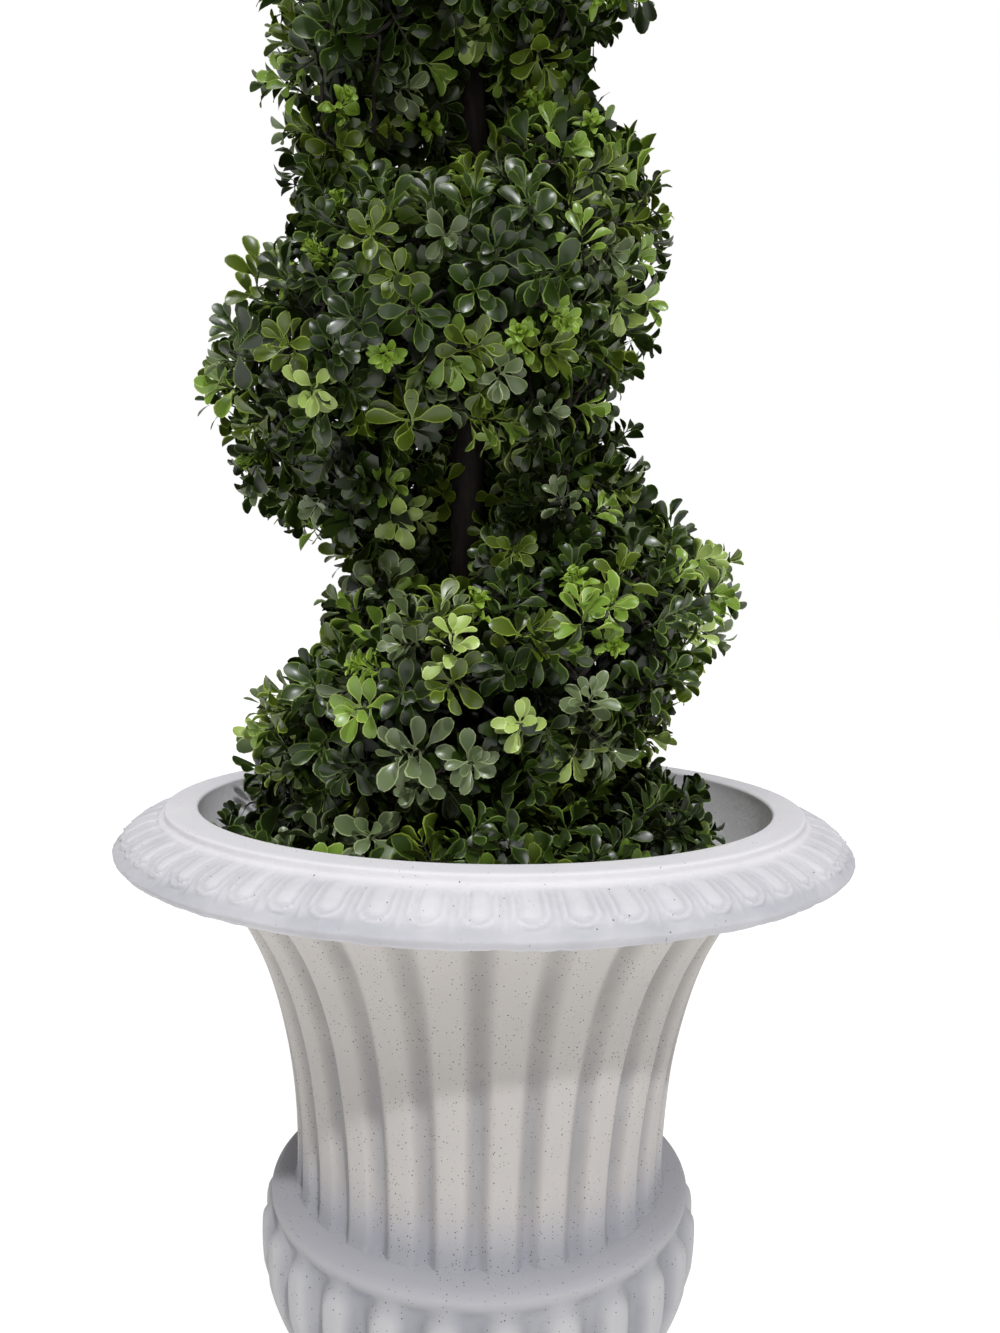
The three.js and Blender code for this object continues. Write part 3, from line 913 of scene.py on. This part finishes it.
def scatter(depth, spacing):
    """Sprig ends and directions all over the plant, a depth inside its surface."""
    tries = 26000
    around = rng.uniform(-math.pi, math.pi, tries)
    band = band_place(rng.uniform(SPIRAL_START, SPIRAL_END, tries), around, depth)
    few = tries // 6
    around = rng.uniform(-math.pi, math.pi, few)
    turns = rng.uniform(SKIRT_START - 0.1, SKIRT_END, few)
    skirt = band_place(turns, around, depth, skirt=True)
    few = tries // 12
    tip = tip_place(rng.uniform(-math.pi, math.pi, few), rng.uniform(-0.7, 1, few), depth)
    points = np.concatenate([band[0], skirt[0], tip[0]])
    outward = np.concatenate([band[1], skirt[1], tip[1]])
    clear = clear_of_neighbours(points)
    points, outward = points[clear], outward[clear]
    order = rng.permutation(len(points))
    kept = order[spread(points[order], spacing)]
    return points[kept], outward[kept]


outer_ends, outer_out = scatter(depth=14 * MM, spacing=18 * MM)
middle_ends, middle_out = scatter(depth=32 * MM, spacing=20 * MM)
inner_ends, inner_out = scatter(depth=52 * MM, spacing=20 * MM)
print("sprigs outside, below and inside:", len(outer_ends), len(middle_ends), len(inner_ends))

# %% [markdown]
# ## Boughs
# A bough is one tapering limb. It leaves the trunk sloping upwards, bends towards the
# middle of the band, and forks in three: over, out and under. Each of those forks once
# more along the band. Every limb is a tube, so one function sweeps a ring along many
# paths at once.

# %% Tubes from arrays
def normalised(vectors):
    return vectors / np.maximum(np.linalg.norm(vectors, axis=-1, keepdims=True), 1e-12)


def tubes(paths, radii, sides):
    """Closed tubes along paths, as points, face corners and face starts."""
    count, rows, _ = paths.shape
    tangents = normalised(np.gradient(paths, axis=1))
    side = np.cross(tangents[:, :1], (0.31, 0.17, 0.94))
    side = side + np.where(np.linalg.norm(side, axis=-1, keepdims=True) < 0.1, (1, 0, 0), 0)
    side = normalised(side - tangents * (side * tangents).sum(-1, keepdims=True))
    other = np.cross(tangents, side)
    turn = np.arange(sides) * 2 * math.pi / sides
    ring = (
        side[:, :, None] * np.cos(turn)[:, None]
        + other[:, :, None] * np.sin(turn)[:, None]
    )
    points = paths[:, :, None] + ring * radii[:, :, None, None]
    row, column = np.divmod(np.arange((rows - 1) * sides), sides)
    following = (column + 1) % sides
    walls = np.stack(
        [
            row * sides + column,
            row * sides + following,
            (row + 1) * sides + following,
            (row + 1) * sides + column,
        ],
        axis=-1,
    )
    caps = np.stack([np.arange(sides)[::-1], (rows - 1) * sides + np.arange(sides)])
    corners = np.concatenate([walls.ravel(), caps.ravel()])
    starts = np.concatenate(
        [np.arange(len(walls)) * 4, walls.size + np.arange(2) * sides]
    )
    step = np.arange(count)[:, None]
    return (
        points.reshape(-1, 3),
        (corners + step * rows * sides).ravel(),
        (starts + step * corners.size).ravel(),
    )


def arcs(starts, ends, sag, rows):
    """Gently bent paths between two sets of points; sag is each one's bend."""
    t = np.linspace(0, 1, rows)[None, :, None]
    return starts[:, None] * (1 - t) + ends[:, None] * t + sag[:, None] * (4 * t * (1 - t))


# %% Forks inside the band
BOUGH_STEP_TURNS = 0.04
BOUGH, FORK, BRANCH, TIP_LIMB = 2.4 * MM, 1.8 * MM, 1.3 * MM, 1.5 * MM  # radii at the root
OVER, OUT, UNDER = 1.25, 0.1, -1.15  # radians round the band's section


def fork_tree():
    """Limb paths as (start, end, thickness at the start) and the forks they end in."""
    limbs = []
    forks = []

    def limb(start, end, thickness):
        limbs.append((start, end, thickness))
        forks.append(end)
        forks.append(start * 0.5 + end * 0.5)

    def grow_through(turns, skirt):
        around = rng.uniform(-0.5, 0.5)
        one = np.array([turns])
        _, rise, across, upright = (float(v[0]) for v in section_at(one, skirt))
        start_rise = rise - 0.35 * upright + rng.uniform(-8, 8) * MM
        start = trunk_middle(start_rise)
        crotch = band_place(one, np.array([math.pi * 0.9]), np.array([across * 0.55]), skirt)[0][0]
        limb(start, crotch, BOUGH)
        for heading in (OVER, OUT, UNDER):
            way = heading + around + rng.uniform(-0.2, 0.2)
            reach = across * rng.uniform(0.42, 0.55)
            fork = band_place(one, np.array([way]), np.array([reach]), skirt)[0][0]
            limb(crotch, fork, FORK)
            for along in (-0.022, 0.022):
                twist = way + rng.uniform(-0.35, 0.35)
                further = one + along + rng.uniform(-0.006, 0.006)
                far = band_place(further, np.array([twist]), np.array([26 * MM]), skirt)[0][0]
                limb(fork, far, BRANCH)

    for turns in np.arange(SPIRAL_START + 0.02, SPIRAL_END, BOUGH_STEP_TURNS):
        grow_through(turns, skirt=False)
    for turns in np.arange(0.02, SKIRT_END, BOUGH_STEP_TURNS * 1.4):
        grow_through(turns, skirt=True)
    for rise in np.arange(0.79, 0.875, 0.012):
        base = trunk_middle(min(rise - 0.012, 0.85))
        for turn in rng.uniform(0, 2 * math.pi, 3):
            lean = np.array([math.cos(turn), math.sin(turn), 1.1])
            limb(base, base + lean * rng.uniform(0.014, 0.024), TIP_LIMB)
    starts, ends, thickness = (np.array(v) for v in zip(*limbs))
    return starts, ends, thickness, np.array(forks)


limb_starts, limb_ends, limb_thickness, forks = fork_tree()
limb_sag = np.zeros_like(limb_starts)
limb_sag[:, 2] = -0.06 * np.linalg.norm(limb_ends - limb_starts, axis=1)
limb_paths = arcs(limb_starts, limb_ends, limb_sag, 5)
limb_paths[:, 1:-1] += rng.normal(0, 0.7 * MM, limb_paths[:, 1:-1].shape)
limb_radii = limb_thickness[:, None] * np.linspace(1, 0.62, 5)
print("limbs:", len(limb_starts), "forks:", len(forks))

# %% Mesh from face corners
def joined_mesh(name, points, corners, starts, material_index=None):
    """One smooth mesh object from points, face corners and where each face starts."""
    mesh = bpy.data.meshes.new(name)
    mesh.vertices.add(len(points))
    mesh.vertices.foreach_set("co", np.ascontiguousarray(points, np.float32).ravel())
    mesh.loops.add(len(corners))
    mesh.loops.foreach_set("vertex_index", corners.astype(np.int32))
    mesh.polygons.add(len(starts))
    mesh.polygons.foreach_set("loop_start", starts.astype(np.int32))
    if material_index is not None:
        mesh.polygons.foreach_set("material_index", material_index.astype(np.int32))
    mesh.update(calc_edges=True)
    return new_piece(name, mesh)


FOLIAGE_NODES = [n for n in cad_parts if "foliage" in n]


def foliage_between(low, high):
    """CAD masses whose middle lies between two heights."""
    middles = {n: (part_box(n)[0].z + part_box(n)[1].z) / 2 for n in FOLIAGE_NODES}
    return [n for n, z in middles.items() if low <= z < high]


boughs = joined_mesh("boughs", *tubes(limb_paths, limb_radii, 6))
settle(boughs, [BARK], "bark")

# %% [markdown]
# ## Sprigs
# A moulded boxwood sprig is a short stem with leaves in pairs, the smallest at its end.
# Each leaf is spoon-shaped: a narrow stalk, widest past the middle, cupped along its edges
# and curled back a little at the end. New growth is a tight ruffle of small bright leaves,
# four to a whorl.
# A leaf starts as a small grid whose rows are drawn in to the outline. The two outside
# columns are a thin edge with a paler colour of their own, painted light for the glow
# through the leaf's margin and the light that its rim catches.

# %% Leaf templates
EDGE_WIDTH = 0.032  # of a leaf's length


def leaf_template(name, stations, half_widths, columns):
    """Points, face corners, face starts and an edge flag for a leaf one unit long."""
    bm = bmesh.new()
    across, along = columns - 1, len(stations) - 1
    bmesh.ops.create_grid(bm, x_segments=across, y_segments=along, size=1)
    for v in bm.verts:
        row = round((v.co.y + 1) / 2 * along)
        column = round((v.co.x + 1) / 2 * across)
        half = half_widths[row]
        inner = max(half - EDGE_WIDTH, half * 0.45)
        place = {0: -half, across: half}.get(column, -inner if column < across / 2 else inner)
        v.co = (place, stations[row], 0)
    bm.verts.index_update()
    points = np.array([v.co for v in bm.verts])
    corners = np.array([v.index for f in bm.faces for v in f.verts])
    starts = np.arange(len(bm.faces)) * 4
    across_middle = [min(v.co.x for v in f.verts) < 0 < max(v.co.x for v in f.verts)
                     for f in bm.faces]
    bm.free()
    print(f"{name}: {len(starts) * 2} triangles")
    return points, corners, starts, ~np.array(across_middle)


EDGED_LEAF = leaf_template(
    "edged leaf",
    stations=(0, 0.26, 0.43, 0.62, 0.81, 0.94, 1.0),
    half_widths=(0.024, 0.042, 0.135, 0.22, 0.235, 0.165, 0.07),
    columns=4,
)
SIMPLE_LEAF = leaf_template(
    "simple leaf",
    stations=(0, 0.34, 0.72, 1.0),
    half_widths=(0.03, 0.12, 0.24, 0.09),
    columns=2,
)

# %% Sprigs of leaves
# Each whorl: distance back from the sprig's end in mm, lean away from its stem in degrees,
# and leaf length in mm. A whorl is turned half a gap from the last, so that pairs cross.
WHORLS = (
    (0.0, 24, 11.5),
    (2.5, 38, 14.5),
    (6.5, 50, 17.0),
    (10.5, 58, 17.5),
    (15.0, 64, 17.5),
    (19.5, 68, 17.0),
)
YOUNG_WHORLS = (
    (0.0, 12, 7.0),
    (1.5, 26, 9.0),
    (4.0, 40, 10.0),
    (7.0, 52, 10.0),
    (11, 64, 11.0),
)


def sprig_leaves(ends, axes, whorls, per_whorl, size):
    """Every leaf of many sprigs: its foot, its two directions, length and sprig number."""
    count = len(ends)
    side = normalised(np.cross(axes, rng.normal(0, 1, (count, 3))))
    other = np.cross(axes, side)
    feet, ahead, upward, lengths, owners = [], [], [], [], []
    phase = rng.uniform(0, 2 * math.pi, count)
    for level, (back, lean, length) in enumerate(whorls):
        for k in range(per_whorl):
            quarter = phase + level * math.pi / per_whorl
            turn = quarter + 2 * math.pi * k / per_whorl + rng.normal(0, 0.28, count)
            tilt = np.radians(lean + rng.normal(0, 11, count))[:, None]
            spoke = side * np.cos(turn)[:, None] + other * np.sin(turn)[:, None]
            forward = axes * np.cos(tilt) + spoke * np.sin(tilt)
            facing = axes * np.sin(tilt) - spoke * np.cos(tilt)
            roll = rng.normal(0, 0.3, count)[:, None]
            facing = facing * np.cos(roll) + np.cross(forward, facing) * np.sin(roll)
            feet.append(ends - axes * (back * MM * size[:, None]))
            ahead.append(forward)
            upward.append(facing)
            lengths.append(length * MM * size * rng.uniform(0.85, 1.12, count))
            owners.append(np.arange(count))
    lists = (feet, ahead, upward, lengths, owners)
    return [np.concatenate(v) for v in lists]


def place_leaves(template, leaves, cup, curl, ruffle=0.0):
    """Bends a copy of the template for each leaf and puts it on its sprig."""
    points, corners, starts, on_edge = template
    feet, ahead, upward, lengths, owners = leaves
    count = len(feet)
    breadth = rng.uniform(0.88, 1.15, count)[:, None]
    x = points[None, :, 0] * breadth
    y = np.repeat(points[None, :, 1], count, axis=0)
    cups = cup * rng.uniform(0.5, 1.5, count)[:, None]
    curls = curl * rng.uniform(0.2, 1.8, count)[:, None]
    z = cups * x**2 / 0.28 - curls * y**2 + ruffle * np.sin(9 * y + 4 * x + owners[:, None])
    scale = lengths[:, None, None]
    across = np.cross(ahead, upward)
    placed = feet[:, None] + scale * (
        across[:, None] * x[:, :, None]
        + ahead[:, None] * y[:, :, None]
        + upward[:, None] * z[:, :, None]
    )
    number = np.arange(count)[:, None]
    return (
        placed.reshape(-1, 3),
        (corners + number * len(points)).ravel(),
        (starts + number * corners.size).ravel(),
        np.tile(on_edge, count),
        np.repeat(owners, len(starts)),
    )


# %% [markdown]
# ## Leaf colours
# The leaves are moulded polyethylene: satin and a little waxy. Each
# sprig is one plain colour out of a short list, so the colours are dealt out by
# sprig, as they were when the plant was made up. The mix is darkest in the urn's mouth
# and middling above, as painted shade, and lightest on the first turn, as painted light.
# The grey-green tone partly paints the satin sheen, and the leaves inside are painted
# darker, as painted shade. Noise only varies the gloss and the fine unevenness of the
# moulding.

# %% Leaf materials
# grey_green is a paler, greyer tone that partly paints the leaves' satin sheen.
LEAF_TONES = {
    "deep": ("#1d2c07", "#526924"),
    "shade": ("#2b3e0d", "#67802f"),
    "olive": ("#4f6117", "#8aa138"),
    "grey_green": ("#66754e", "#9dab78"),
    "fresh": ("#769536", "#adc25e"),
    "lime": ("#a3ba62", "#cede8c"),
}
BLADE_GLOSS, EDGE_GLOSS, YOUNG_GLOSS = 0.32, 0.5, 0.45  # as roughness


def moulded_plastic(name, hex_colour, grain_size, roughness, relief):
    """Polyethylene from a mould: one colour all through, with a slightly uneven skin."""
    material, tree, shader, place = start_material(f"moulded_polyethylene_{name}")
    shader.inputs["Base Color"].default_value = linear(hex_colour)
    skin = add(tree, "ShaderNodeTexNoise", {"Vector": place, "Scale": 1 / grain_size})
    set_surface(tree, shader, skin.outputs["Fac"], roughness, relief)
    return material, shader


def leaf_material(name, hex_colour, gloss):
    roughness = (gloss - 0.08, gloss + 0.12)
    relief = (0.25, 0.4 * MM)
    material, shader = moulded_plastic(f"leaf_{name}", hex_colour, 6 * MM, roughness, relief)
    shader.inputs["IOR"].default_value = 1.51
    shader.inputs["Specular IOR Level"].default_value = 0.62
    return material


TONE_MATERIALS = []
# Each tone's edge material is paler than its blade, painted light for the glow through the margin.
for tone, (blade_hex, glow_edge_hex) in LEAF_TONES.items():
    TONE_MATERIALS.append(leaf_material(tone, blade_hex, BLADE_GLOSS))
    TONE_MATERIALS.append(leaf_material(tone + "_edge", glow_edge_hex, EDGE_GLOSS))
YOUNG = leaf_material("young", "#789927", YOUNG_GLOSS)
# The young leaves' paler edge is painted light as well.
YOUNG_EDGE = leaf_material("young_edge", "#adc650", EDGE_GLOSS)
# The darkest tone, painted shade for the leaves deep inside.
INSIDE_SHADE_LEAF = leaf_material("inside_shade", "#0f1906", YOUNG_GLOSS)
print("leaf finishes:", len(TONE_MATERIALS) + 3)


def leaf_piece(name, template, ends, axes, tones, whorls, per_whorl, size, bend):
    """One piece of leaves: tones picks each sprig's material, bend is cup, curl, ruffle."""
    leaves = sprig_leaves(ends, axes, whorls, per_whorl, size)
    points, corners, starts, on_edge, owners = place_leaves(template, leaves, *bend)
    return joined_mesh(name, points, corners, starts, tones[owners] + on_edge)


def loosened(outward, amount, lift):
    """Sprig directions: outwards, lifted a little, each one somewhat astray."""
    astray = outward + rng.normal(0, amount, outward.shape)
    astray[:, 2] += lift
    return normalised(astray)


# %% Outer sprigs
STRAY_SHARE, STRAY_REACH = 0.06, (5, 12)  # share of sprigs, and mm that they stick out
YOUNG_SHARE = 0.07
MOUTH_RISE, UPPER_RISE = 22 * MM, 165 * MM
# Tone shares: lightest on the first turn as painted light, darker above and darkest in the mouth
# under the first turn as painted shade; the mouth gets no bright young growth either.
FIRST_TURN_MIX = (0.15, 0.24, 0.19, 0.23, 0.11, 0.08)
UPPER_MIX = (0.32, 0.28, 0.15, 0.12, 0.08, 0.05)
MOUTH_MIX = (0.42, 0.33, 0.12, 0.06, 0.05, 0.02)
OUTER_PIECES = 4


def deal_tones(count, mix):
    """A blade material's place for each of count sprigs; its edge comes next to it."""
    return 2 * rng.choice(len(LEAF_TONES), count, p=mix)


outer_axes = loosened(outer_out, amount=0.42, lift=0.12)
reach = rng.normal(0, 4 * MM, len(outer_ends))
stray = rng.random(len(outer_ends)) < STRAY_SHARE
reach[stray] += rng.uniform(*STRAY_REACH, stray.sum()) * MM
outer_tips = outer_ends + outer_axes * reach[:, None]
young_sprigs = rng.random(len(outer_ends)) < YOUNG_SHARE
tone_of_sprig = deal_tones(len(outer_ends), FIRST_TURN_MIX)
in_upper = outer_ends[:, 2] > LIP_Z + UPPER_RISE
in_mouth = outer_ends[:, 2] < LIP_Z + MOUTH_RISE
tone_of_sprig[in_upper] = deal_tones(in_upper.sum(), UPPER_MIX)
tone_of_sprig[in_mouth] = deal_tones(in_mouth.sum(), MOUTH_MIX)
young_sprigs &= ~in_mouth
size_of_sprig = rng.uniform(0.82, 1.18, len(outer_ends))

grown = np.flatnonzero(~young_sprigs)
heights = outer_tips[grown, 2]
limits = np.quantile(heights, np.linspace(0, 1, OUTER_PIECES + 1))
limits[0], limits[-1] = -1, 9
for k in range(OUTER_PIECES):
    chosen = grown[(heights >= limits[k]) & (heights < limits[k + 1])]
    piece = leaf_piece(
        f"outer_leaves_{k + 1}",
        EDGED_LEAF,
        outer_tips[chosen],
        outer_axes[chosen],
        tone_of_sprig[chosen],
        WHORLS,
        per_whorl=2,
        size=size_of_sprig[chosen],
        bend=(0.55, 0.20),
    )
    nodes = foliage_between(limits[k], limits[k + 1])
    settle(piece, TONE_MATERIALS, "leaves", *nodes)

# %% Young growth
young = np.flatnonzero(young_sprigs)
piece = leaf_piece(
    "young_leaves",
    EDGED_LEAF,
    outer_tips[young],
    outer_axes[young],
    np.zeros(len(young), int),
    YOUNG_WHORLS,
    per_whorl=4,
    size=size_of_sprig[young],
    bend=(1.1, 0.25, 0.07),
)
settle(piece, [YOUNG, YOUNG_EDGE], "leaves")

# %% Leaves inside
middle_axes = loosened(middle_out, amount=0.45, lift=0.05)
inner_axes = loosened(inner_out, amount=0.6, lift=0.0)
# The leaves inside take the darkest tones, as painted shade.
DEEP, SHADE = TONE_MATERIALS[0], TONE_MATERIALS[2]
for name, ends, axes, materials in (
    ("middle_leaves", middle_ends, middle_axes, [DEEP, SHADE]),
    ("inner_leaves", inner_ends, inner_axes, [INSIDE_SHADE_LEAF, DEEP]),
):
    piece = leaf_piece(
        name,
        SIMPLE_LEAF,
        ends,
        axes,
        rng.integers(0, 2, len(ends)),
        WHORLS,
        per_whorl=2,
        size=rng.uniform(0.9, 1.15, len(ends)),
        bend=(0.5, 0.16),
    )
    settle(piece, materials, "leaves")

# %% Twigs
# Each twig runs from the nearest fork to the foot of its sprig and on along its stem. It
# is plastic too, pushed on to a wire, and dull because it was never meant to be seen.
STEM_LENGTH = 22 * MM


def twigs_to(ends, axes):
    feet = ends - axes * STEM_LENGTH
    nearest = np.empty(len(feet), int)
    for first in range(0, len(feet), 500):
        gap = feet[first : first + 500, None] - forks[None]
        nearest[first : first + 500] = (gap**2).sum(-1).argmin(1)
    roots = forks[nearest]
    sag = -axes * 0.12 * np.linalg.norm(feet - roots, axis=1)[:, None]
    way = arcs(roots, feet, sag, 4)
    return np.concatenate([way, ends[:, None]], axis=1)


twig_paths = np.concatenate(
    [
        twigs_to(outer_tips, outer_axes),
        twigs_to(middle_ends, middle_axes),
        twigs_to(inner_ends, inner_axes),
    ]
)
twig_radii = np.tile(np.array([1.0, 0.9, 0.8, 0.7, 0.4]) * MM, (len(twig_paths), 1))

TWIG, _ = moulded_plastic("twig", "#20240f", 3 * MM, (0.5, 0.8), (0.5, 0.3 * MM))
twigs = joined_mesh("twigs", *tubes(twig_paths, twig_radii, 3))
settle(twigs, [TWIG], "leaves")

# %% [markdown]
# ## Studio
# The plant stands on a plain pale floor in front of a plain pale wall of light. A broad
# soft light above fills the top of every leaf and the rim. A small hard one, high in
# front, throws the rim's shadow on the bell. The world lends a weak, slightly warm fill,
# and is brighter for the camera than for the object. The floor is matt paper that glows,
# so that it looks as pale as the wall.

# %% Floor and world
FLOOR_RADIUS = 40  # metres, so far off that its edge doesn't show
FLOOR_GLOW = 0.9
WORLD_FILL = 0.115


def floor_material():
    material, tree, shader, place = start_material("matt_paper_sweep")
    shader.inputs["Base Color"].default_value = linear("#808080")
    shader.inputs["Emission Color"].default_value = linear("#ffffff")
    shader.inputs["Emission Strength"].default_value = FLOOR_GLOW
    tooth = add(tree, "ShaderNodeTexNoise", {"Vector": place, "Scale": 1 / (2 * MM)})
    matt = add(
        tree,
        "ShaderNodeMapRange",
        {"Value": tooth.outputs["Fac"], "To Min": 0.85, "To Max": 0.95},
    )
    tree.links.new(matt.outputs["Result"], shader.inputs["Roughness"])
    return material


def make_floor():
    bm = bmesh.new()
    bmesh.ops.create_circle(bm, cap_ends=True, segments=64, radius=FLOOR_RADIUS)
    floor = finish_bmesh(bm, "studio_floor")
    for p in floor.data.polygons:
        p.use_smooth = False
    floor.data.materials.append(floor_material())


make_floor()

world = bpy.data.worlds.new("pale_studio")
bpy.context.scene.world = world
world.use_nodes = True
sky = world.node_tree
sky.nodes.clear()
seen, fill = (
    add(sky, "ShaderNodeBackground", {"Color": linear(hex_colour), "Strength": strength})
    for hex_colour, strength in (("#ffffff", 1.0), ("#fffaf4", WORLD_FILL))
)
from_camera = add(sky, "ShaderNodeLightPath").outputs["Is Camera Ray"]
either = add(
    sky, "ShaderNodeMixShader", {0: from_camera, 1: fill.outputs[0], 2: seen.outputs[0]}
)
add(sky, "ShaderNodeOutputWorld", {"Surface": either.outputs[0]})


# %% Lights
def soft_sun(name, towards, spread_degrees, strength, hex_colour):
    """A distant light: towards is the way to the light, and the spread softens shadows."""
    light = bpy.data.lights.new(name, "SUN")
    light.angle = math.radians(spread_degrees)
    light.energy = strength
    light.color = linear(hex_colour)[:3]
    made = bpy.data.objects.new(name, light)
    made.rotation_euler = Vector(towards).to_track_quat("Z", "Y").to_euler()
    bpy.context.scene.collection.objects.link(made)
    print(f"{name}: strength {strength}, {spread_degrees} degrees wide")


soft_sun("overhead_softbox", (-0.10, -0.30, 1), 40, 1.65, "#fdfdff")
soft_sun("front_key", (0.3, -0.95, 1.1), 2.5, 1.75, "#fafbff")

# %% [markdown]
# ## Camera
# The camera stands close in front, a little above the lip of the urn, with a moderately
# wide lens, so the top of the spiral and the urn's foot run out of the frame. It leans by
# a degree.

# %% Camera
CAMERA_PLACE = Vector((0.0067, -0.5955, LIP_Z + 0.10785))
CAMERA_DIP = math.radians(2.94)
CAMERA_ROLL = math.radians(1.04)

camera_data = bpy.data.cameras.new("camera")
camera_data.lens = 27
camera_data.sensor_width = 36
camera_data.dof.use_dof = False
camera = bpy.data.objects.new("camera", camera_data)
forward = Vector((0, math.cos(CAMERA_DIP), -math.sin(CAMERA_DIP)))
level = Vector((1, 0, 0))
upright = level.cross(forward)
right = level * math.cos(CAMERA_ROLL) + upright * math.sin(CAMERA_ROLL)
above = upright * math.cos(CAMERA_ROLL) - level * math.sin(CAMERA_ROLL)
turned = Matrix((right, above, -forward)).transposed().to_4x4()
camera.matrix_world = Matrix.Translation(CAMERA_PLACE) @ turned
bpy.context.scene.collection.objects.link(camera)
bpy.context.scene.camera = camera
bpy.context.scene.view_settings.view_transform = "Standard"
print("camera looks along", [round(v, 3) for v in forward])
